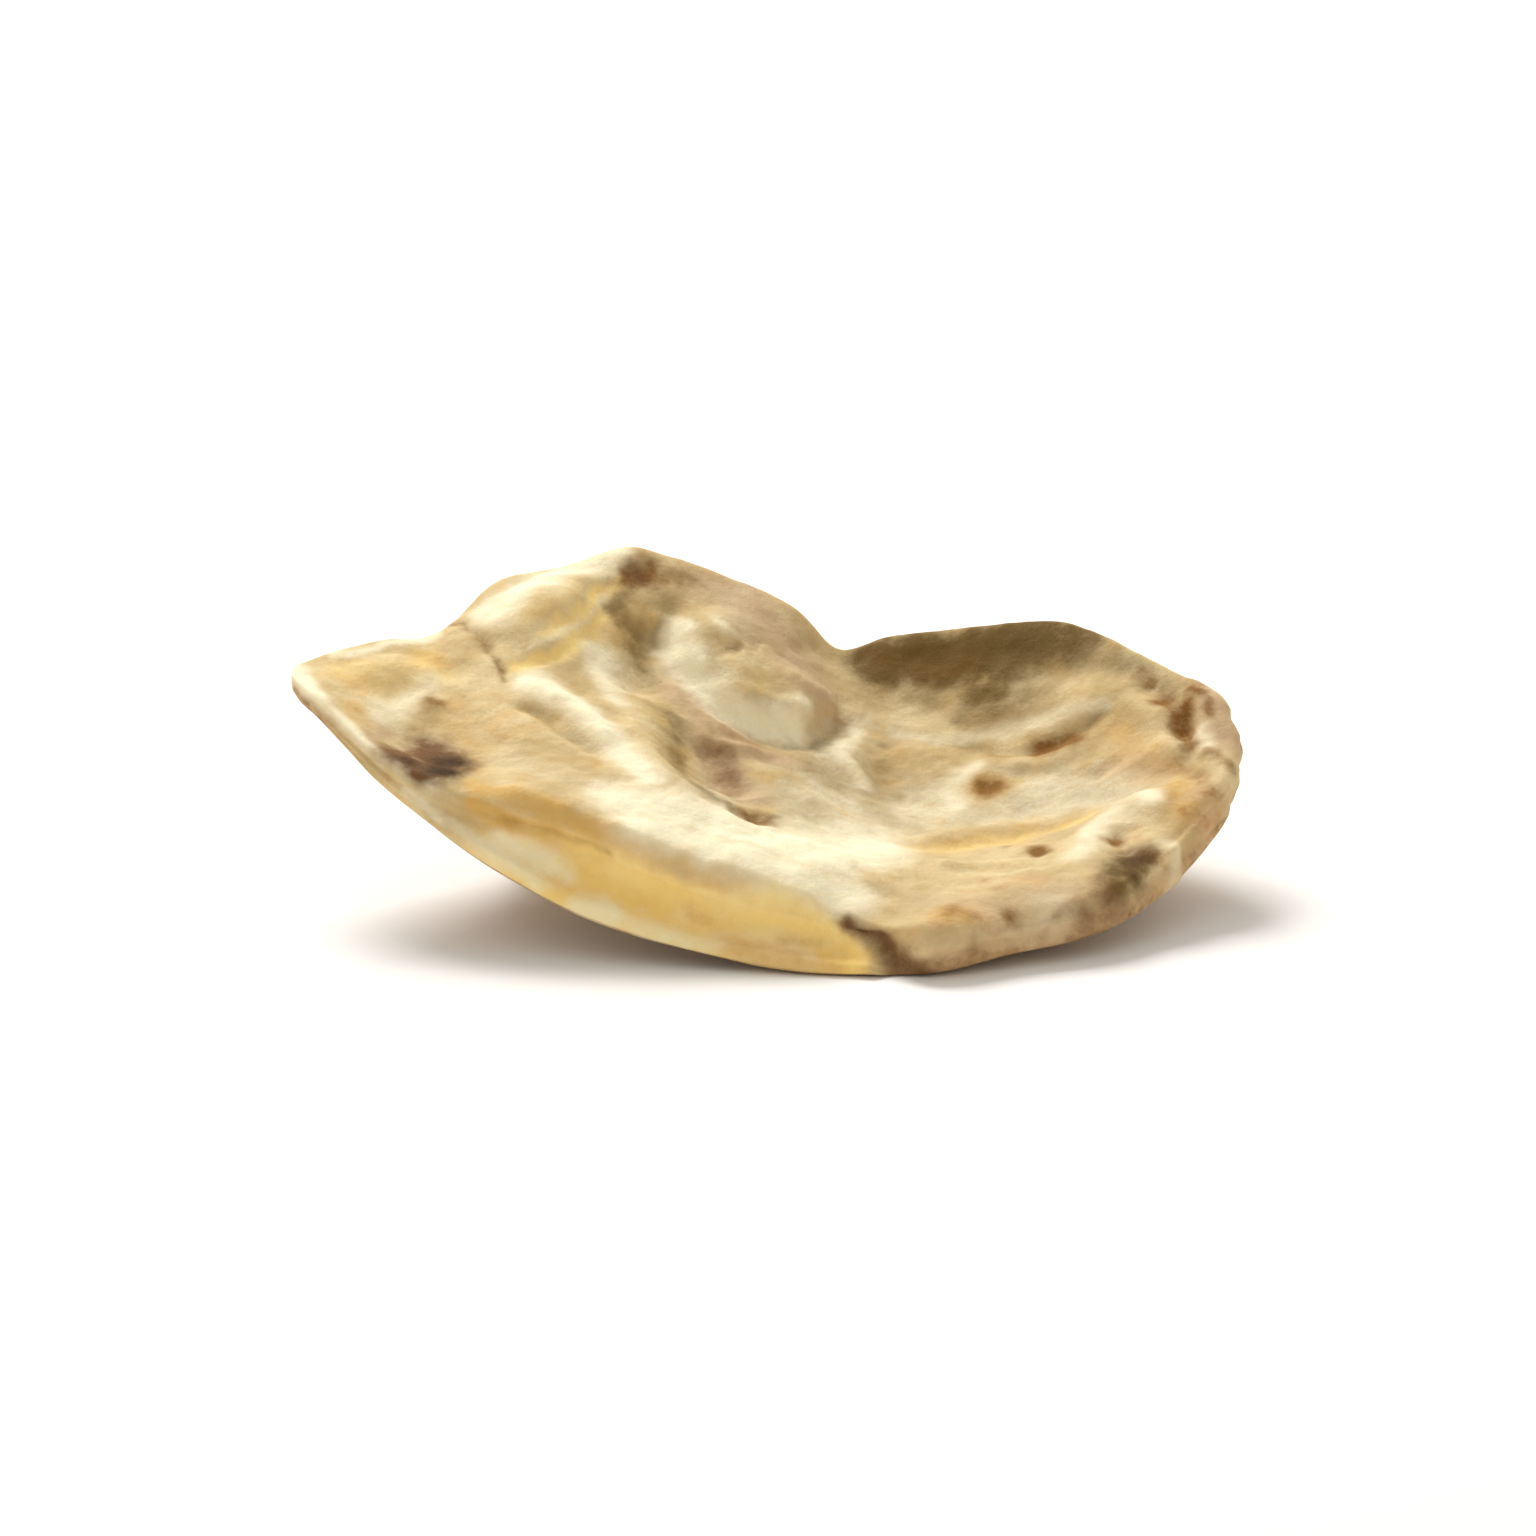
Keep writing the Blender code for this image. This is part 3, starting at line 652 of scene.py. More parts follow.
# Coloured strokes on the edge band, laid out flat like its forms: stains, painted shade and painted
# highlight.
EDGE_STAINS_AND_PAINTED_LIGHT: dict[Tint, tuple[StainAndPaintedLight, ...]] = {
    # painted highlight along the lip at the foot of the band, and on the ridge right of the dark patch
    Tint.PALE_AND_HIGHLIGHT: (
        StainAndPaintedLight(((47.0, 1.4), (49.5, 1.6), (52.0, 1.8)), 0.35, 0.6),
        StainAndPaintedLight(((53.5, 1.85), (56.5, 1.9), (58.2, 1.85)), 0.4, 0.45),
        StainAndPaintedLight(((50.5, 1.2), (53.0, 1.3)), 0.4, 0.5),
        StainAndPaintedLight(((76.5, 0.1), (76.2, 1.0), (75.6, 2.0)), 0.4, 0.45),
    ),
    # the translucent stretch of the band
    Tint.OCHRE: (
        StainAndPaintedLight(((51.6, 0.5), (53.0, 0.5)), 0.6, 0.35),
        StainAndPaintedLight(((53.0, 0.5), (54.6, 0.55)), 0.7, 0.65),
        StainAndPaintedLight(((54.8, 0.6), (56.4, 0.65), (58.0, 0.7), (60.0, 0.6), (62.4, 0.4)), 0.75, 0.9),
    ),
    # the thin line above it, and the foot beside the split
    Tint.WARM: (
        StainAndPaintedLight(((49.6, 0.2), (50.8, 0.4), (52.2, 0.35), (54.0, 0.4)), 0.5, 1.0),
        StainAndPaintedLight(((58.6, 1.7), (60.5, 1.9), (62.2, 2.0)), 0.6, 0.6),
    ),
    Tint.PINK: (StainAndPaintedLight(((66.0, 0.8), (69.0, 0.9), (71.0, 0.9)), 0.8, 0.4),),
    Tint.BROWN: (
        StainAndPaintedLight(((50.4, 0.3), (51.6, 0.35), (53.0, 0.3), (54.4, 0.25)), 0.3, 0.35),
        StainAndPaintedLight(((57.2, 1.1), (58.0, 1.2)), 0.3, 0.3),
        StainAndPaintedLight(((60.4, 1.2), (61.8, 1.0)), 0.3, 0.3),
        StainAndPaintedLight(((63.0, 0.1), (63.6, 0.5)), 0.45, 0.35),
    ),
    # the split: brown, with painted shade deep in the crack
    Tint.CREASE: (StainAndPaintedLight(((62.9, 0.0), (63.5, 0.4), (64.3, 1.1), (65.3, 2.3)), 0.65, 0.8),),
}

# Blots that cross the rim. Their places are in plan on the face, and laid flat on the edge band.
FACE_BLOTS: dict[Tint, tuple[Blots, ...]] = {
    # the orange mark on the worn front right corner
    Tint.WARM: (Blots(((6.1, -8.4),), 0.9, 1.0),),
    # painted shade on the back wall of the dish, and the patch on the front right rim, partly its own
    # dark colour and partly painted shade
    Tint.OLIVE_SHADE: (
        Blots(((4.0, 8.5), (5.2, 8.4), (6.4, 8.3)), 1.4, 1.2),
        Blots(((7.6, 8.1), (8.8, 8.1)), 1.6, 1.3),
        Blots(((10.2, 7.5),), 1.4, 1.05),
        Blots(((12.0, 6.5),), 1.3, 0.5),
        Blots(((4.8, 7.8),), 2.6, 0.45),
        Blots(((8.0, 7.2),), 2.4, 0.5),
        Blots(((7.4, 6.9),), 1.3, 0.85),
        Blots(((12.5, -4.4),), 0.7, 1.0),
        Blots(((12.3, -5.1),), 0.8, 1.1),
    ),
    # the brown spot above the patch, and the middle of the orange mark
    Tint.BROWN: (
        Blots(((11.7, -3.2),), 0.45, 0.8),
        Blots(((6.1, -8.5),), 0.75, 0.62),
    ),
    # the root knot on the tip, darkest at its lower right, and the top of the patch, partly painted
    # shade
    Tint.CREASE: (
        Blots(((-11.2, -1.9),), 1.0, 0.9),
        Blots(((-12.1, -3.5),), 0.9, 1.0),
        Blots(((-10.8, -3.1),), 1.2, 1.3),
        Blots(((-11.4, -4.2),), 1.0, 1.3),
        Blots(((12.3, -4.4),), 0.8, 0.7),
    ),
    # the dark core of the knot, painted shade deepest on the back wall of the dish, and the dark core
    # of the patch
    Tint.DARK: (
        Blots(((-10.4, -3.3), (-10.8, -4.3)), 0.8, 1.0),
        Blots(((-11.9, -4.1),), 0.6, 0.6),
        Blots(((5.6, 8.6), (8.6, 8.2)), 1.2, 0.28),
        Blots(((12.4, -4.8),), 0.75, 0.55),
    ),
    # mottled skin: the tip, the front right and the right end
    Tint.MOTTLE: (
        Blots(((-13.9, 0.2),), 1.5, 0.4),
        Blots(((-13.4, -1.9), (12.4, 2.4)), 1.2, 0.5),
        Blots(((-11.4, 1.8),), 1.3, 0.3),
        Blots(((-10.3, 3.6),), 1.0, 0.4),
        Blots(((8.6, -3.0),), 1.2, 0.4),
        Blots(((7.4, -6.6),), 2.0, 0.6),
    ),
}
EDGE_BLOTS: dict[Tint, tuple[Blots, ...]] = {
    Tint.PALE_AND_HIGHLIGHT: (Blots(((70.4, 0.3),), 1.3, 0.4),),
    # the lower half of the patch on the front right rim, partly its own dark colour and partly painted
    # shade
    Tint.OLIVE_SHADE: (
        Blots(((73.2, 0.4),), 0.8, 1.0),
        Blots(((74.0, 0.2),), 0.85, 1.1),
    ),
    Tint.BROWN: (
        Blots(((68.8, 0.3),), 0.45, 0.8),
        Blots(((70.5, 0.9),), 0.4, 0.5),
        Blots(((67.2, 1.2),), 0.5, 0.4),
    ),
    Tint.CREASE: (
        Blots(((72.6, 1.0),), 0.9, 0.6),
        Blots(((71.4, 1.3),), 0.8, 0.5),
    ),
    Tint.DARK: (Blots(((74.2, 0.3),), 0.7, 0.45),),
    Tint.MOTTLE: (
        Blots(((66.4, 0.4), (72.6, 0.6)), 1.6, 0.7),
        Blots(((68.4, 0.5), (70.6, 0.4)), 1.8, 0.7),
        Blots(((75.6, 0.4),), 1.8, 0.8),
        Blots(((78.5, 0.3),), 2.0, 0.8),
        Blots(((0.2, 0.2),), 2.2, 0.9),
        Blots(((3.0, 0.2),), 2.0, 0.9),
    ),
}

# The hollow under the patch on the front right rim.
PATCH_HOLLOW = Blots(((12.3, -5.0),), 1.1, -0.2)

# Root scars on the bark side: x, y and half width.
BARK_SCARS = (
    (0.4, 3.6, 0.7), (3.4, 5.8, 0.6), (5.6, 1.2, 0.6), (9.4, 4.2, 0.55), (-1.4, -1.6, 0.7),
    (2.6, -1.4, 0.55), (-9.6, 1.0, 0.6), (-5.6, -3.4, 0.65), (11.6, -1.6, 0.55), (-1.0, 7.6, 0.5),
)


# the slice


@dataclass(frozen=True)
class SliceSizes:
    """The slice's mesh, wear, growth marks and drifts, in millimetres and shares."""

    segments: int = 560
    face_rings: int = 92
    edge_rings: int = 26
    bark_rings: int = 50
    middle: Plan = (0.5, -0.4)
    # the band laid flat: its length, its depth, and how far the two sides run past it
    rim_length: float = 82.0
    band_depth: float = 2.2
    spill: float = 8.0
    # wear of the upper corner by stretches of the rim, each in rings and passes
    wear: tuple[tuple[Stretch, int, int], ...] = (
        (Stretch(-0.1, 1.1, 0.05, 0.05), 4, 12),
        (Stretch(0.52, 0.81, 0.05, 0.05), 6, 22),
        (Stretch(0.8, 0.98, 0.04, 0.04), 24, 420),
    )
    # ease of both corners, in rings and passes
    ease: tuple[int, int] = (4, 8)
    # how fast the relief of each side fades towards the rim, and what the face keeps of it there
    face_fade: float = 9.0
    face_kept: float = 0.1
    edge_fade: float = 6.0
    bark_fade: float = 4.0
    # fine relief of all sides, the face, the edge band and the crumbled right end
    swell: Ripple = Ripple(3.2, 0.15, 3.1)
    fibre_lay: tuple[Plan, Plan] = ((0.35, 0.3), (0.05, 1.5))
    fibres: Ripple = Ripple(1.0, 0.025, 4.4)
    skin: tuple[Ripple, Ripple] = (Ripple(1.0, 0.06, 2.9), Ripple(0.4, 0.02, 8.3))
    layers: Ripple = Ripple((3.2, 0.45), 0.07, 6.1)
    edge_grain: Ripple = Ripple(0.5, 0.03, 9.7)
    crust_centre: Plan = (15.2, 2.0)
    crust_reach: float = 4.5
    crust: tuple[Ripple, Ripple] = (Ripple(1.5, 0.34, 5.9), Ripple(0.75, 0.068, 15.3))
    # growth rings, wrinkles and root scars of the bark
    ring_centre: Plan = (-5.5, 5.0)
    ring_pitch: float = 3.0
    ring_height: float = 0.18
    ring_lines: Ripple = Ripple(0.42, 0.06, 3.3)
    ring_waver: float = 0.12
    wrinkles: tuple[Ripple, Ripple] = (Ripple(2.4, 0.15, 7.7), Ripple(0.7, 0.06, 5.3))
    scar_height: float = 0.3
    scar_flank: float = 0.7
    scar_pit: float = -0.18
    scar_pit_share: float = 0.4
    scar_pit_flank: float = 0.8
    # drift of the forms in plan, as pitch and amount, and drift and limits of the colour areas
    drifts: tuple[Plan, ...] = ((1.7, 0.18), (0.7, 0.03))
    drift_seeds: Plan = (12.1, 21.4)
    tint_pitches: Plan = (0.6, 0.25)
    tint_seeds: tuple[float, float, float] = (51.7, 61.3, 71.9)
    tint_seed_step: float = 4.3
    fine_share: float = 0.5
    stroke_drift: float = 0.09
    blot_drift: float = 0.08
    spill_fade: float = 1.3
    fullest_tint: float = 1.5

    @property
    def rings(self) -> int:
        """Rings from the top of the ball to its bottom."""
        return self.face_rings + self.edge_rings + self.bark_rings


@dataclass(frozen=True)
class Coverings:
    """Where the ochre band and the bark show, in shares of the way round and down the edge."""

    # the ochre band: its stretch, how far down the edge it starts and how fast it comes in
    band: Stretch = Stretch(0.585, 0.785, 0.04, 0.02)
    band_top: float = 0.12
    band_waver: Ripple = Ripple(2.4, 0.16, 8.8)
    band_rise: float = 2.6
    # the stretch bare of bark, and from the front to the end of the way round a lower start
    bare: Stretch = Stretch(0.5, 0.79, 0.06, 0.01)
    front: Stretch = Stretch(0.5, 2.0, 0.06, 1.0)
    bark_top: float = 0.1
    bark_drop: float = 0.25
    bark_rise: float = 2.5
    # the bark's dark marks: how near its trough a growth ring turns dark, and their strengths
    ring_line: float = 0.7
    ring_strength: float = 0.6
    scar_strength: float = 0.8
    corner_fade: float = 6.0


def add_object(name: str, data: bpy.types.ID) -> bpy.types.Object:
    """Add an object to the scene.

    Args:
        name: Its name.
        data: Its mesh, lamp or camera.

    Returns:
        The new object.
    """
    made = bpy.data.objects.new(name, data)
    bpy.context.scene.collection.objects.link(made)
    return made


class TuberSlice:
    """The dried slice: its fine mesh, its colour areas and its finish."""

    def __init__(self, sizes: SliceSizes, coverings: Coverings) -> None:
        """Keep the sizes and start from the ball.

        Args:
            sizes: Mesh and growth sizes.
            coverings: Where the ochre band and the bark show.
        """
        self.sizes = sizes
        self.coverings = coverings
        self.mesh = self.ball()
        corners = np.empty(len(self.mesh.vertices) * 3)
        self.mesh.vertices.foreach_get("co", corners)
        places = corners.reshape(-1, 3)
        self.share = np.arctan2(places[:, 1], places[:, 0]) / (2 * math.pi)
        self.ring = np.arccos(np.clip(places[:, 2], -1, 1)) / math.pi * sizes.rings
        slack = 1e-3
        on_face = self.ring <= sizes.face_rings + slack
        on_bark = self.ring >= sizes.face_rings + sizes.edge_rings - slack
        self.on = {Side.FACE: on_face, Side.EDGE: ~(on_face | on_bark), Side.BARK: on_bark}
        self.down = np.clip((self.ring - sizes.face_rings) / sizes.edge_rings, 0, 1)
        self.reach = np.select(
            [on_face, on_bark],
            [self.ring / sizes.face_rings, (sizes.rings - self.ring) / sizes.bark_rings],
            1.0,
        )
        self.points = np.zeros_like(places)
        self.plan = np.zeros((len(places), 2))
        inward = (1 - self.reach) * sizes.spill * np.sign(self.ring - sizes.face_rings)
        self.band = np.column_stack(
            [np.mod(self.share, 1.0) * sizes.rim_length, self.down * sizes.band_depth + inward]
        )
        self.tints: dict[Tint, np.ndarray] = {tint: np.zeros(len(places)) for tint in Tint}

    def ball(self) -> bpy.types.Mesh:
        """Make the ball that the slice is pressed from, by rolling up a flat grid.

        Returns:
            The ball's mesh, of radius 1.
        """
        mesh = bpy.data.meshes.new(PIECE_NAME)
        shape = bmesh.new()
        bmesh.ops.create_grid(
            shape, x_segments=self.sizes.segments, y_segments=self.sizes.rings, size=0.5
        )
        for vertex in shape.verts:
            around, up = 2 * math.pi * vertex.co.x, math.pi * vertex.co.y
            level = math.cos(up)
            vertex.co = (level * math.cos(around), level * math.sin(around), math.sin(up))
        bmesh.ops.remove_doubles(shape, verts=shape.verts, dist=1e-6)
        shape.to_mesh(mesh)
        shape.free()
        return mesh

    def rim_at(self, share: np.ndarray) -> tuple[np.ndarray, np.ndarray]:
        """Read the rim at shares of the way round.

        Args:
            share: Shares of the rim's length in plan.

        Returns:
            The rim's values, and its outward direction in plan.
        """
        fine = np.linspace(0, len(RIM), RIM_STEPS * len(RIM) + 1)
        curve = closed_curve(RIM, fine)[:, :2]
        run = np.concatenate([[0], np.cumsum(np.linalg.norm(np.diff(curve, axis=0), axis=1))])

        def read(shares: np.ndarray) -> np.ndarray:
            """Read the rim's values at shares of its length."""
            return closed_curve(RIM, np.interp(np.mod(shares, 1.0) * run[-1], run, fine))

        along = (read(share + RIM_NUDGE) - read(share - RIM_NUDGE))[:, :2]
        along /= np.linalg.norm(along, axis=1)[:, None]
        return read(share), np.column_stack([along[:, 1], -along[:, 0]])

    def press(self) -> None:
        """Lay the ball's points on the cut face, the edge band and the bark side."""
        rim, outward = self.rim_at(self.share)
        down = self.down
        lip = rim[:, 4] * down - rim[:, 5] * np.sin(math.pi * down)
        edge = rim[:, :2] + outward * lip[:, None]
        middle = np.array(self.sizes.middle)
        xy = middle + (edge - middle) * self.reach[:, None]

        face_map = HeightMap(list(FACE_SPOTS) + [station[:3] for station in RIM])
        low_rim = [(x, y, max(top - band, 0.0)) for x, y, top, band, _lip, _draw in RIM]
        bark_map = HeightMap(list(BARK_SPOTS) + low_rim)
        edge_z = face_map.at(rim[:, :2]) * (1 - down) + bark_map.at(edge) * down
        z = np.select(
            [self.on[Side.FACE], self.on[Side.BARK]],
            [face_map.at(xy), bark_map.at(xy)],
            edge_z,
        )
        self.points = np.column_stack([xy, z])

    def normals(self) -> np.ndarray:
        """Write the points to the mesh and read its normals.

        Returns:
            One normal for each point.
        """
        self.mesh.vertices.foreach_set("co", (self.points * MM).ravel())
        self.mesh.update()
        values = np.empty(len(self.points) * 3, np.float32)
        self.mesh.vertex_normals.foreach_get("vector", values)
        return values.reshape(-1, 3).astype(float)

    def rounded(self, grid: np.ndarray, corner: int, reach: int, passes: int) -> np.ndarray:
        """Ease one corner of the edge band, ring against ring.

        Args:
            grid: Points by ring and place round the rim.
            corner: Number of the ring on the corner.
            reach: Rings eased on each side of the corner.
            passes: How often they are eased.

        Returns:
            The eased points.
        """
        eased = grid.copy()
        low, high = corner - reach, corner + reach + 1
        for _ in range(passes):
            beside = eased[low - 1 : high - 1] + eased[low + 1 : high + 1]
            eased[low:high] = (beside + 2 * eased[low:high]) / 4
        return eased

    def ring_rows(self) -> np.ndarray:
        """Give the numbers of the points, one row for each ring between the ball's two ends."""
        order = np.lexsort((self.share, np.round(self.ring)))
        return order[1:-1].reshape(self.sizes.rings - 1, self.sizes.segments)

    def wear_corner(self) -> None:
        """Wear the upper corner of the edge band round, most of all at the front right."""
        rows = self.ring_rows()
        sharp = self.points[rows]
        worn = sharp.copy()
        for stretch, reach, passes in self.sizes.wear:
            here = stretch.cover(self.share[rows])[..., None]
            eased = self.rounded(sharp, self.sizes.face_rings - 1, reach, passes)
            worn += (eased - worn) * here
        self.points[rows] = worn

    def ease_corners(self) -> None:
        """Ease both corners of the edge band a little, across the relief on either side."""
        rows = self.ring_rows()
        upper = self.sizes.face_rings - 1
        for corner in (upper, upper + self.sizes.edge_rings):
            self.points[rows] = self.rounded(self.points[rows], corner, *self.sizes.ease)

    def raise_face(self) -> np.ndarray:
        """Give the relief of the cut face.

        Returns:
            How far each point of the slice is raised, 0 off the face.
        """
        sizes = self.sizes
        rows = np.flatnonzero(self.on[Side.FACE])
        xy, points = self.plan[rows], self.points[rows]
        forms = sum(form.lift(xy) for form in FACE_FORMS)
        forms *= smooth_step((1 - self.reach[rows]) * sizes.face_fade + sizes.face_kept)
        raised = np.zeros(len(self.points))
        raised[rows] = forms + sizes.fibres.lift(xy @ np.array(sizes.fibre_lay))
        raised[rows] += sum(ripple.lift(points) for ripple in sizes.skin)
        return raised

    def raise_edge(self) -> np.ndarray:
        """Give the relief of the edge band: its forms, and layers that run with the rim.

        Returns:
            How far each point of the slice is raised.
        """
        sizes = self.sizes
        rows = np.flatnonzero(self.on[Side.EDGE])
        raised = sum(form.lift(self.band) for form in EDGE_FORMS)
        layers = sizes.layers.lift(self.band[rows]) + sizes.edge_grain.lift(self.points[rows])
        to_corner = np.minimum(self.down, 1 - self.down)[rows]
        raised[rows] += layers * smooth_step(to_corner * sizes.edge_fade)
        return raised

    def ring_waves(self, xy: np.ndarray) -> tuple[np.ndarray, np.ndarray]:
        """Read the growth rings at points in plan.

        Args:
            xy: Points in plan.

        Returns:
            The points' distances from the rings' centre, and the rings as waves from -1 to 1.
        """
        away = distance(xy, self.sizes.ring_centre)
        return away, np.cos(2 * math.pi * away / self.sizes.ring_pitch)

    def raise_bark(self) -> np.ndarray:
        """Give the relief of the bark side: growth rings, root scars and wrinkles.

        Returns:
            How far each point of the slice is raised, 0 off the bark side.
        """
        sizes = self.sizes
        rows = np.flatnonzero(self.on[Side.BARK])
        points = self.points[rows]
        xy = points[:, :2]
        away, rings = self.ring_waves(xy)
        marks = rings * sizes.ring_height
        marks += sizes.ring_lines.lift(np.column_stack([away, xy[:, 0] * sizes.ring_waver]))
        for ripple in sizes.wrinkles:
            marks += ripple.lift(points)
        for x, y, half in BARK_SCARS:
            pit = half * sizes.scar_pit_share
            marks += Mound((x, y), (half, half), 0.0, sizes.scar_height, sizes.scar_flank).lift(xy)
            marks += Mound((x, y), (pit, pit), 0.0, sizes.scar_pit, sizes.scar_pit_flank).lift(xy)
        raised = np.zeros(len(self.points))
        raised[rows] = marks * smooth_step((1 - self.reach[rows]) * sizes.bark_fade)
        return raised

    def raise_crust(self) -> np.ndarray:
        """Give the relief of the crumbled skin at the right end.

        Returns:
            How far each point of the slice is raised.
        """
        sizes = self.sizes
        gap = distance(self.points[:, :2], sizes.crust_centre)
        lumps = sum(ripple.lift(self.points) for ripple in sizes.crust)
        return lumps * smooth_step(1 - gap / sizes.crust_reach)

    def laid(self, side: Side) -> np.ndarray:
        """Give the points laid flat: in plan for the face, or along the edge band."""
        return self.plan if side is Side.FACE else self.band

    def blots_cover(self, side: Side, blots: Blots, points: np.ndarray) -> np.ndarray:
        """Give how strongly blots of one size cover points.

        Args:
            side: The side on which their places are laid.
            blots: The blots.
            points: The points in space, drifted a little or not.

        Returns:
            The cover of each point.
        """
        rows = np.flatnonzero(self.on[side])
        laid = self.laid(side)[rows]
        covers = []
        for place in blots.places:
            middle = self.points[rows[distance(laid, place).argmin()]]
            covers.append(blots.cover(points, middle))
        return np.max(covers, axis=0)

    def carve(self) -> None:
        """Raise the relief out of the pressed shape and centre the slice on its frame."""
        normals = self.normals()
        sizes = self.sizes
        self.plan = self.points[:, :2].copy()
        for pitch, amount in sizes.drifts:
            self.plan += amount * np.column_stack(
                [waves(self.points, pitch, seed) for seed in sizes.drift_seeds]
            )
        raised = sizes.swell.lift(self.points)
        raised += self.raise_face() + self.raise_edge() + self.raise_bark() + self.raise_crust()
        raised += self.blots_cover(Side.FACE, PATCH_HOLLOW, self.points)
        self.points += normals * raised[:, None]
        self.points[:, 2] = np.maximum(self.points[:, 2], 0)
        self.points[:, :2] -= (self.points.max(axis=0) + self.points.min(axis=0))[:2] / 2

    def lay(self, tint: Tint, cover: np.ndarray) -> None:
        """Lay a cover over a colour area, where it is the stronger of the two."""
        np.maximum(self.tints[tint], cover, out=self.tints[tint])

    def tint(self) -> None:
        """Lay the colour areas over the slice: stains and marks, and painted shade and painted
        highlight.
        """
        sizes = self.sizes
        coarse, fine = sizes.tint_pitches
        drift = np.column_stack(
            [
                waves(self.points, coarse, seed)
                + sizes.fine_share * waves(self.points, fine, seed + sizes.tint_seed_step)
                for seed in sizes.tint_seeds
            ]
        )
        down_edge = 1 - smooth_step(self.down * sizes.spill_fade)
        over = np.where(self.on[Side.BARK], 0.0, down_edge)
        points = self.points + sizes.blot_drift * drift
        for side, side_strokes, side_blots, shown in (
            (Side.FACE, FACE_STAINS_AND_PAINTED_LIGHT, FACE_BLOTS, over),
            (Side.EDGE, EDGE_STAINS_AND_PAINTED_LIGHT, EDGE_BLOTS, 1.0),
        ):
            laid = self.laid(side) + sizes.stroke_drift * drift[:, :2]
            for tint, strokes in side_strokes.items():
                for stroke in strokes:
                    self.lay(tint, stroke.cover(laid) * shown)
            for tint, rows in side_blots.items():
                for blots in rows:
                    self.lay(tint, self.blots_cover(side, blots, points) * shown)
        self.lay(Tint.CREASE, self.bark_marks())
        self.tints[Tint.BAND] = self.band_cover()
        self.tints[Tint.BARK] = self.bark_cover()

    def bark_marks(self) -> np.ndarray:
        """Give the dark lines along the bark's growth rings and round its root scars.

        Returns:
            The strength of the marks at each point.
        """
        shown = self.coverings
        _away, rings = self.ring_waves(self.plan)
        lines = smooth_step((-rings - shown.ring_line) / (1 - shown.ring_line))
        lines *= shown.ring_strength
        for x, y, half in BARK_SCARS:
            scar = bell(distance(self.plan, (x, y)), half)
            lines = np.maximum(lines, shown.scar_strength * scar)
        return lines * self.on[Side.BARK] * smooth_step((1 - self.reach) * shown.corner_fade)

    def band_cover(self) -> np.ndarray:
        """Give where the translucent ochre band shows: low on the front left edge.

        Returns:
            The cover of each point.
        """
        shown = self.coverings
        places = np.column_stack([self.band[:, 0], self.points[:, 2]])
        top = shown.band_top + shown.band_waver.lift(places)
        low = smooth_step((self.down - top) * shown.band_rise)
        return shown.band.cover(self.share) * low * self.on[Side.EDGE]

    def bark_cover(self) -> np.ndarray:
        """Give where the bark shows: below, and over the edge away from the front left.

        Returns:
            The cover of each point.
        """
        shown = self.coverings
        top = shown.bark_top + shown.bark_drop * shown.front.cover(self.share)
        low = smooth_step((self.down - top) * shown.bark_rise)
        on_edge = (1 - shown.bare.cover(self.share)) * low
        return np.where(self.on[Side.BARK], 1.0, on_edge)

    def make(self) -> bpy.types.Object:
        """Build the slice and dress it.

        Returns:
            The finished object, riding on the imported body.
        """
        self.press()
        self.wear_corner()
        self.carve()
        self.ease_corners()
        self.tint()
        self.mesh.vertices.foreach_set("co", (self.points * MM).ravel())
        for tint, values in self.tints.items():
            layer = self.mesh.attributes.new(tint.value, "FLOAT", "POINT")
            strengths = np.clip(values, 0, self.sizes.fullest_tint)
            layer.data.foreach_set("value", strengths.astype(np.float32))
        self.mesh.update()
        self.mesh.shade_smooth()
        self.mesh.materials.append(SliceFinish().material())
        piece = add_object(PIECE_NAME, self.mesh)
        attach(piece, "root")
        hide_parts(NODE_NAME)
        return piece


# finishes


def shade(red: int, green: int, blue: int) -> Colour:
    """Turn a colour as a screen shows it into the shader's linear one.

    Args:
        red: The red channel, 0 to 255.
        green: The green channel.
        blue: The blue channel.

    Returns:
        The linear colour.
    """

    def linear(value: int) -> float:
        """Turn one channel."""
        part = value / 255
        return part / 12.92 if part <= 0.04045 else ((part + 0.055) / 1.055) ** 2.4

    return linear(red), linear(green), linear(blue), 1.0


@dataclass(frozen=True)
class Grain:
    """A noise for the finish: its pitch in millimetres, its detail and its roughness."""

    pitch: float
    detail: float = 4.0
    roughness: float = 0.55


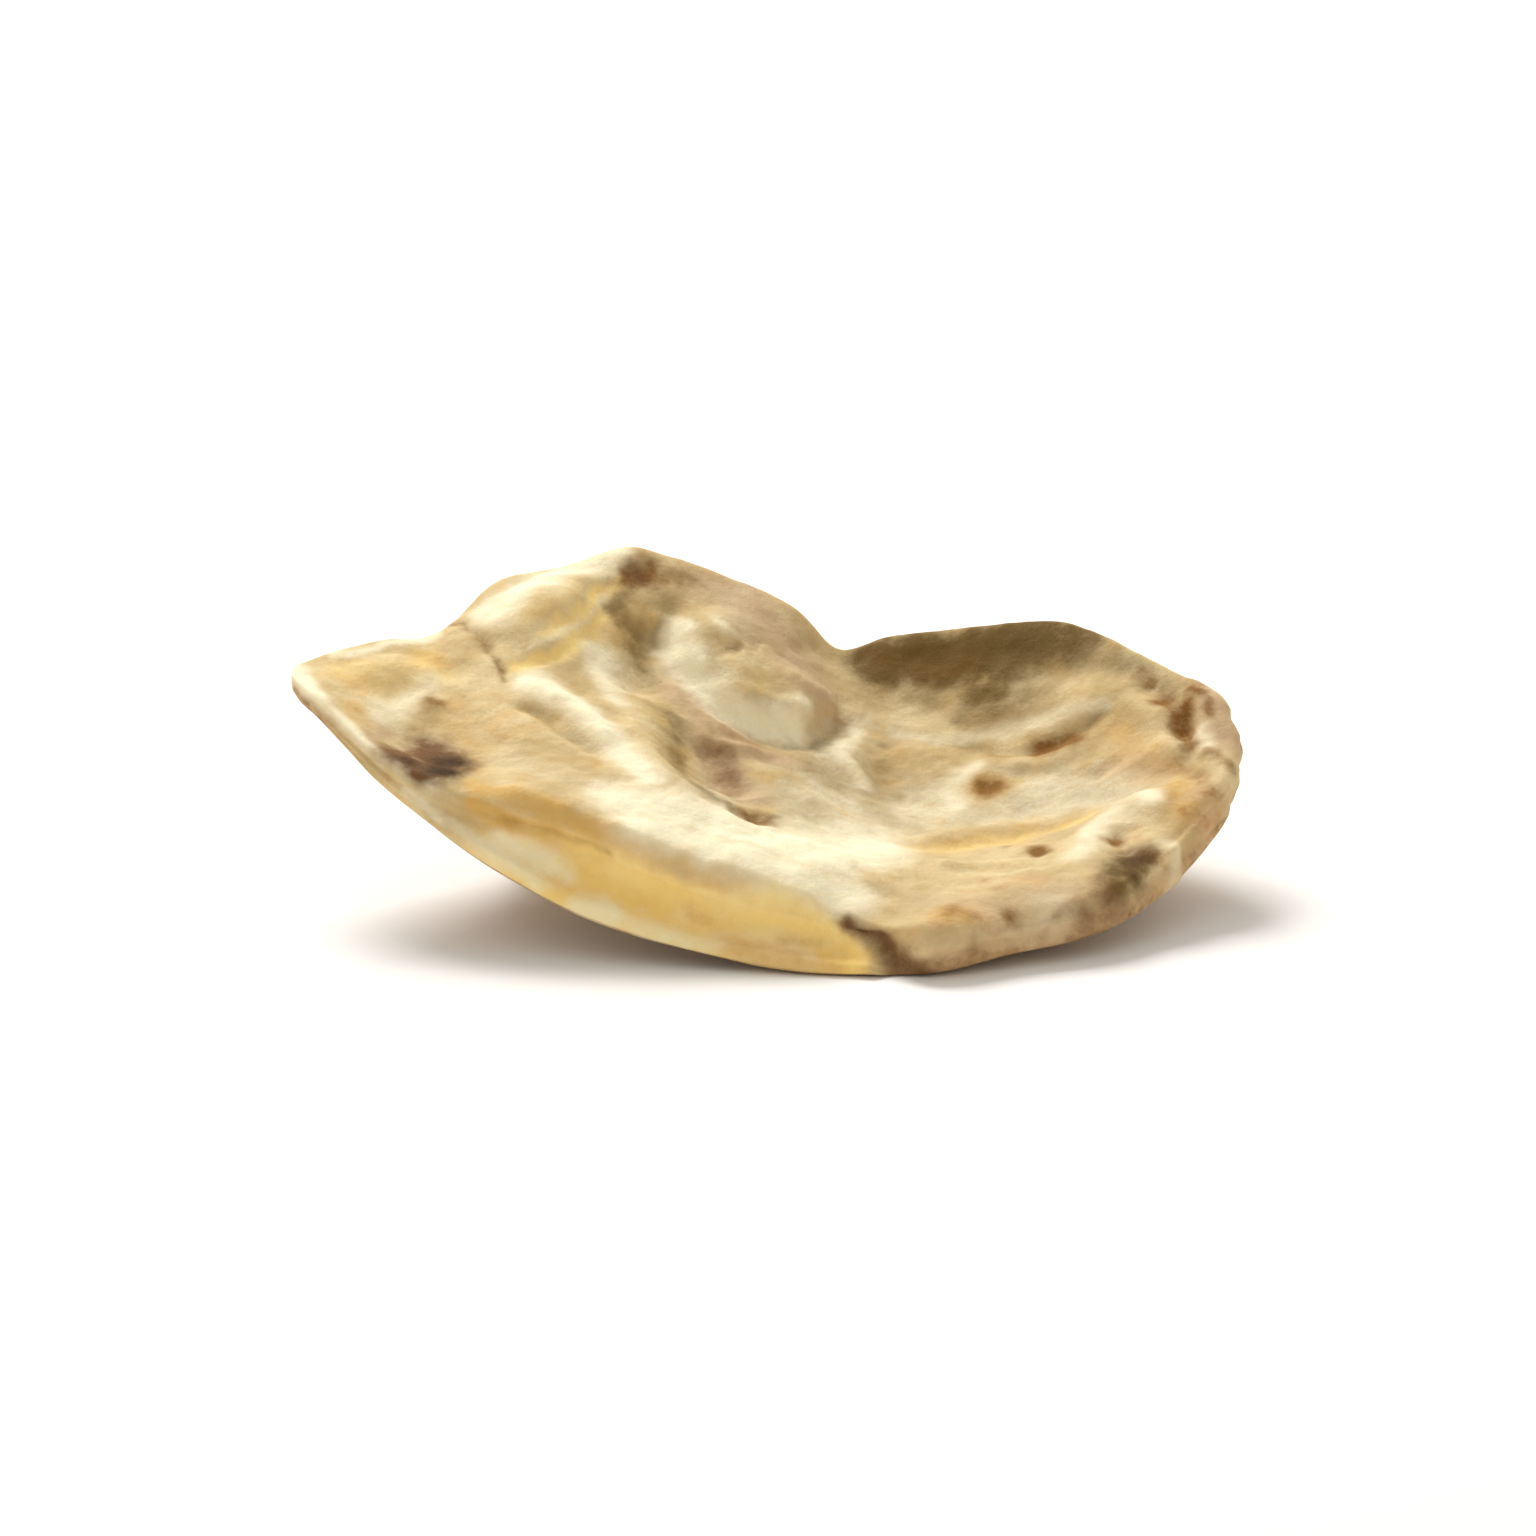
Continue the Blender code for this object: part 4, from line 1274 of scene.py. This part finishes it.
class Wiring:
    """Lays nodes in one tree and joins them."""

    def __init__(self, tree: bpy.types.NodeTree) -> None:
        """Keep the tree.

        Args:
            tree: A material's or a group's node tree.
        """
        self.tree = tree

    def node(self, kind: str, **settings: object) -> bpy.types.Node:
        """Add a node.

        Args:
            kind: Type of the node.
            **settings: Values of its properties.

        Returns:
            The new node.
        """
        made = self.tree.nodes.new(kind)
        for name, value in settings.items():
            setattr(made, name, value)
        return made

    def feed(self, socket: bpy.types.NodeSocket, value: object) -> None:
        """Join a socket to another, or set it to a constant.

        Args:
            socket: Input of a node.
            value: The output to join it to, or the constant.
        """
        if isinstance(value, bpy.types.NodeSocket):
            self.tree.links.new(value, socket)
        else:
            socket.default_value = value

    def mix(self, factor: object, under: object, over: object) -> bpy.types.NodeSocket:
        """Mix two colours.

        Args:
            factor: How much of the upper colour shows.
            under: The lower colour.
            over: The upper colour.

        Returns:
            The mixed colour.
        """
        made = self.node("ShaderNodeMix", data_type="RGBA")
        # the node keeps inputs 6 and 7 and output 2 for colours
        for number, value in ((0, factor), (6, under), (7, over)):
            self.feed(made.inputs[number], value)
        return made.outputs[2]

    def reckon(self, operation: str, first: object, second: object) -> bpy.types.NodeSocket:
        """Work out one number from two.

        Args:
            operation: What is done to them.
            first: The first number.
            second: The second number.

        Returns:
            The result.
        """
        made = self.node("ShaderNodeMath", operation=operation)
        self.feed(made.inputs[0], first)
        self.feed(made.inputs[1], second)
        return made.outputs[0]

    def ramp(self, value: object, low: float, high: float, weakest: float = 0.0,
             strongest: float = 1.0) -> bpy.types.NodeSocket:
        """Ease a value from one range to another.

        Args:
            value: The value.
            low: Where its own range starts.
            high: Where its own range ends.
            weakest: Result at the start.
            strongest: Result at the end.

        Returns:
            The eased value.
        """
        made = self.node("ShaderNodeMapRange", interpolation_type="SMOOTHSTEP")
        self.feed(made.inputs[0], value)
        for number, limit in enumerate((low, high, weakest, strongest), start=1):
            made.inputs[number].default_value = limit
        return made.outputs[0]

    def area(self, tint: Tint) -> bpy.types.NodeSocket:
        """Read one of the slice's colour areas."""
        return self.node("ShaderNodeAttribute", attribute_name=tint.value).outputs["Fac"]

    def speckle(self, place: object, grain: Grain) -> bpy.types.NodeSocket:
        """Read a noise.

        Args:
            place: Where it is read.
            grain: The noise.

        Returns:
            Its value, about 0.5 on average.
        """
        made = self.node("ShaderNodeTexNoise")
        self.feed(made.inputs["Vector"], place)
        made.inputs["Scale"].default_value = 1 / (grain.pitch * MM)
        made.inputs["Detail"].default_value = grain.detail
        made.inputs["Roughness"].default_value = grain.roughness
        return made.outputs["Fac"]


def ragged_group() -> bpy.types.NodeTree:
    """Make the group that frays the border of a colour area by a noise.

    Returns:
        The group, with the area, the noise and how far it frays as inputs.
    """
    group = bpy.data.node_groups.new("ragged_area", "ShaderNodeTree")
    for name in ("Area", "Grain", "Fray"):
        group.interface.new_socket(name=name, in_out="INPUT", socket_type="NodeSocketFloat")
    group.interface.new_socket(name="Cover", in_out="OUTPUT", socket_type="NodeSocketFloat")
    wiring = Wiring(group)
    given = wiring.node("NodeGroupInput").outputs
    drift = wiring.reckon("MULTIPLY", wiring.reckon("SUBTRACT", given["Grain"], 0.5), given["Fray"])
    inside = wiring.reckon("MULTIPLY", given["Area"], wiring.reckon("ADD", drift, 1.0))
    cover = wiring.node("ShaderNodeClamp")
    wiring.feed(cover.inputs[0], inside)
    wiring.feed(wiring.node("NodeGroupOutput").inputs["Cover"], cover.outputs[0])
    return group


@dataclass(frozen=True)
class SliceFinish:
    """The horny cream flesh and the brown bark of the dried slice."""

    flesh: Colour = shade(230, 209, 162)
    flesh_deep: Colour = shade(202, 175, 124)
    grey: Colour = shade(230, 218, 184)
    grey_deep: Colour = shade(198, 181, 144)
    warm: Colour = shade(218, 176, 102)
    band: Colour = shade(255, 230, 176)
    band_deep: Colour = shade(250, 212, 128)
    bark: Colour = shade(192, 158, 114)
    bark_deep: Colour = shade(148, 112, 76)
    bark_pale: Colour = shade(224, 198, 150)
    blush: Colour = shade(214, 178, 132)
    rust: Colour = shade(176, 126, 72)
    # the plain colour areas from the lowest up, with how far their borders fray; olive is painted
    # shade, pale is partly painted highlight, and pink, brown, crease and dark carry some painted shade
    plain: tuple[tuple[Tint, float, Colour], ...] = (
        # painted shade of the back wall, the folds and the valley's brink
        (Tint.OLIVE_SHADE, 1.4, shade(122, 98, 54)),
        (Tint.PINK, 1.0, shade(200, 171, 132)),
        (Tint.OCHRE, 1.0, shade(255, 222, 142)),
        # pale flesh with painted highlight
        (Tint.PALE_AND_HIGHLIGHT, 0.8, shade(255, 243, 208)),
        (Tint.BROWN, 1.8, shade(134, 92, 38)),
        (Tint.CREASE, 1.6, shade(126, 92, 60)),
        (Tint.DARK, 1.0, shade(72, 50, 28)),
    )
    # the noises that break the colours up, and how far off patches and blots are read, in metres
    broad: Grain = Grain(2.6, 3.0)
    grain: Grain = Grain(0.5, 5.0, 0.65)
    fine: Grain = Grain(0.16, 4.0, 0.7)
    patches: Grain = Grain(1.5, 4.0, 0.6)
    blots: Grain = Grain(0.9, 4.0, 0.6)
    shift: tuple[float, float, float] = (0.031, 0.017, 0.023)
    # roughness, small relief, and the light inside the flesh
    gloss: Grain = Grain(0.3, 5.0, 0.6)
    smoothest: float = 0.5
    roughest: float = 0.68
    sheen: float = 0.06
    pores: Grain = Grain(0.2, 5.0, 0.7)
    lumps: Grain = Grain(0.7)
    lump_share: float = 1.5
    bump_strength: float = 0.5
    bump_depth: float = 0.11
    glow: float = 0.35
    glow_reach: float = 0.45
    glow_colours: tuple[float, float, float] = (1.0, 0.75, 0.45)

    def colour(self, wiring: Wiring, place: bpy.types.NodeSocket) -> bpy.types.NodeSocket:
        """Build the slice's colour.

        Args:
            wiring: The material's tree.
            place: Object coordinates.

        Returns:
            The colour's socket.
        """
        ragged = ragged_group()
        broad = wiring.speckle(place, self.broad)
        grain = wiring.speckle(place, self.grain)
        fine = wiring.speckle(place, self.fine)
        shifted = wiring.node("ShaderNodeVectorMath", operation="ADD")
        wiring.feed(shifted.inputs[0], place)
        wiring.feed(shifted.inputs[1], self.shift)
        patches = wiring.speckle(shifted.outputs[0], self.patches)
        blots = wiring.speckle(shifted.outputs[0], self.blots)

        def cover(tint: Tint, fray: float) -> bpy.types.NodeSocket:
            """Fray the border of one colour area.

            Args:
                tint: The colour area.
                fray: How far its border frays.

            Returns:
                How much of its colour shows.
            """
            made = wiring.node("ShaderNodeGroup", node_tree=ragged)
            wiring.feed(made.inputs["Area"], wiring.area(tint))
            wiring.feed(made.inputs["Grain"], blots)
            wiring.feed(made.inputs["Fray"], fray)
            return wiring.ramp(made.outputs["Cover"], 0.05, 0.95)

        colour = wiring.mix(wiring.ramp(broad, 0.3, 0.7), self.flesh_deep, self.flesh)
        grey = wiring.mix(wiring.ramp(broad, 0.35, 0.6), self.grey_deep, self.grey)
        colour = wiring.mix(cover(Tint.GREY, 1.0), colour, grey)
        colour = wiring.mix(wiring.ramp(patches, 0.5, 0.72, 0.0, 0.5), colour, self.warm)
        colour = wiring.mix(wiring.ramp(fine, 0.35, 0.75, 0.0, 0.45), colour, self.flesh_deep)
        band = wiring.mix(wiring.ramp(broad, 0.4, 0.6), self.band_deep, self.band)
        colour = wiring.mix(cover(Tint.BAND, 0.5), colour, band)
        bark = wiring.mix(wiring.ramp(grain, 0.3, 0.62), self.bark_deep, self.bark)
        bark = wiring.mix(wiring.ramp(broad, 0.45, 0.65, 0.0, 0.7), bark, self.bark_pale)
        colour = wiring.mix(cover(Tint.BARK, 0.6), colour, bark)
        colour = wiring.mix(cover(Tint.WARM, 1.4), colour, self.warm)
        mottle = cover(Tint.MOTTLE, 0.6)
        blush = wiring.reckon("MULTIPLY", mottle, wiring.ramp(patches, 0.42, 0.6))
        colour = wiring.mix(blush, colour, self.blush)
        rust = wiring.reckon("MULTIPLY", mottle, wiring.ramp(blots, 0.5, 0.72, 0.0, 0.75))
        colour = wiring.mix(rust, colour, self.rust)
        for tint, fray, over in self.plain:
            colour = wiring.mix(cover(tint, fray), colour, over)
        return colour

    def material(self) -> bpy.types.Material:
        """Build the material.

        Returns:
            The finished material.
        """
        made = bpy.data.materials.new("dried_slice")
        made.use_nodes = True
        wiring = Wiring(made.node_tree)
        place = wiring.node("ShaderNodeTexCoord").outputs["Object"]
        gloss = wiring.speckle(place, self.gloss)
        lumps = wiring.reckon("MULTIPLY", wiring.speckle(place, self.lumps), self.lump_share)
        bump = wiring.node("ShaderNodeBump")
        wiring.feed(bump.inputs["Strength"], self.bump_strength)
        wiring.feed(bump.inputs["Distance"], self.bump_depth * MM)
        height = wiring.reckon("ADD", wiring.speckle(place, self.pores), lumps)
        wiring.feed(bump.inputs["Height"], height)
        surface = made.node_tree.nodes["Principled BSDF"].inputs
        for name, value in {
            "Base Color": self.colour(wiring, place),
            "Roughness": wiring.ramp(gloss, 0.2, 0.8, self.smoothest, self.roughest),
            "Specular IOR Level": self.sheen,
            "Normal": bump.outputs["Normal"],
            "Subsurface Weight": self.glow,
            "Subsurface Radius": self.glow_colours,
            "Subsurface Scale": self.glow_reach * MM,
        }.items():
            wiring.feed(surface[name], value)
        return made


# table, light and camera


@dataclass(frozen=True)
class Studio:
    """The pale table, the soft light and the camera, in metres, watts and degrees."""

    table_half: float = 0.6
    table_colour: Colour = (0.92, 0.91, 0.89, 1.0)
    table_roughness: float = 0.7
    sky_colour: Colour = (1.0, 0.96, 0.9, 1.0)
    sky_strength: float = 0.65
    key_place: tuple[float, float, float] = (-0.12, 0.261, 0.342)
    key_size: float = 0.2
    key_power: float = 1.8
    camera_height_angle: float = 16.0
    camera_away: float = 0.45
    frame_width: float = 0.0512
    aim: tuple[float, float, float] = (0.0, 0.0, 0.0045)
    sensor: float = 36.0
    nearest: float = 0.01

    def lay_table(self) -> None:
        """Make the table."""
        mesh = bpy.data.meshes.new("table")
        shape = bmesh.new()
        bmesh.ops.create_grid(shape, x_segments=1, y_segments=1, size=self.table_half)
        shape.to_mesh(mesh)
        shape.free()
        cloth = bpy.data.materials.new("table")
        cloth.use_nodes = True
        surface = cloth.node_tree.nodes["Principled BSDF"]
        surface.inputs["Base Color"].default_value = self.table_colour
        surface.inputs["Roughness"].default_value = self.table_roughness
        mesh.materials.append(cloth)
        add_object("table", mesh)

    def light(self) -> None:
        """Set the even sky and the large soft lamp above the slice."""
        world = bpy.data.worlds.new("studio")
        world.use_nodes = True
        sky = world.node_tree.nodes["Background"]
        sky.inputs["Color"].default_value = self.sky_colour
        sky.inputs["Strength"].default_value = self.sky_strength
        bpy.context.scene.world = world
        lamp = bpy.data.lights.new("key", "AREA")
        lamp.size = self.key_size
        lamp.energy = self.key_power
        key = add_object("key", lamp)
        key.location = self.key_place
        key.rotation_euler = (-Vector(self.key_place)).to_track_quat("-Z", "Y").to_euler()

    def place_camera(self) -> None:
        """Set the camera at the photograph's viewing angle."""
        rise = math.radians(self.camera_height_angle)
        back = Vector((0.0, -math.cos(rise), math.sin(rise)))
        eye = bpy.data.cameras.new("camera")
        eye.sensor_width = self.sensor
        eye.lens = self.sensor * self.camera_away / self.frame_width
        eye.clip_start = self.nearest
        camera = add_object("camera", eye)
        camera.location = Vector(self.aim) + back * self.camera_away
        camera.rotation_euler = (-back).to_track_quat("-Z", "Y").to_euler()
        bpy.context.scene.camera = camera

    def set_up(self) -> None:
        """Set up all of the studio."""
        self.lay_table()
        self.light()
        self.place_camera()
        bpy.context.scene.view_settings.view_transform = "Standard"


def main() -> None:
    """Build the scene."""
    logging.basicConfig(level=logging.INFO, format="%(message)s")
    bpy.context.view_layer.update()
    piece = TuberSlice(SliceSizes(), Coverings()).make()
    log.info("%s: %d faces", piece.name, len(piece.data.polygons))
    Studio().set_up()
    log.info("table, light and camera are set")


if __name__ == "__main__":
    main()
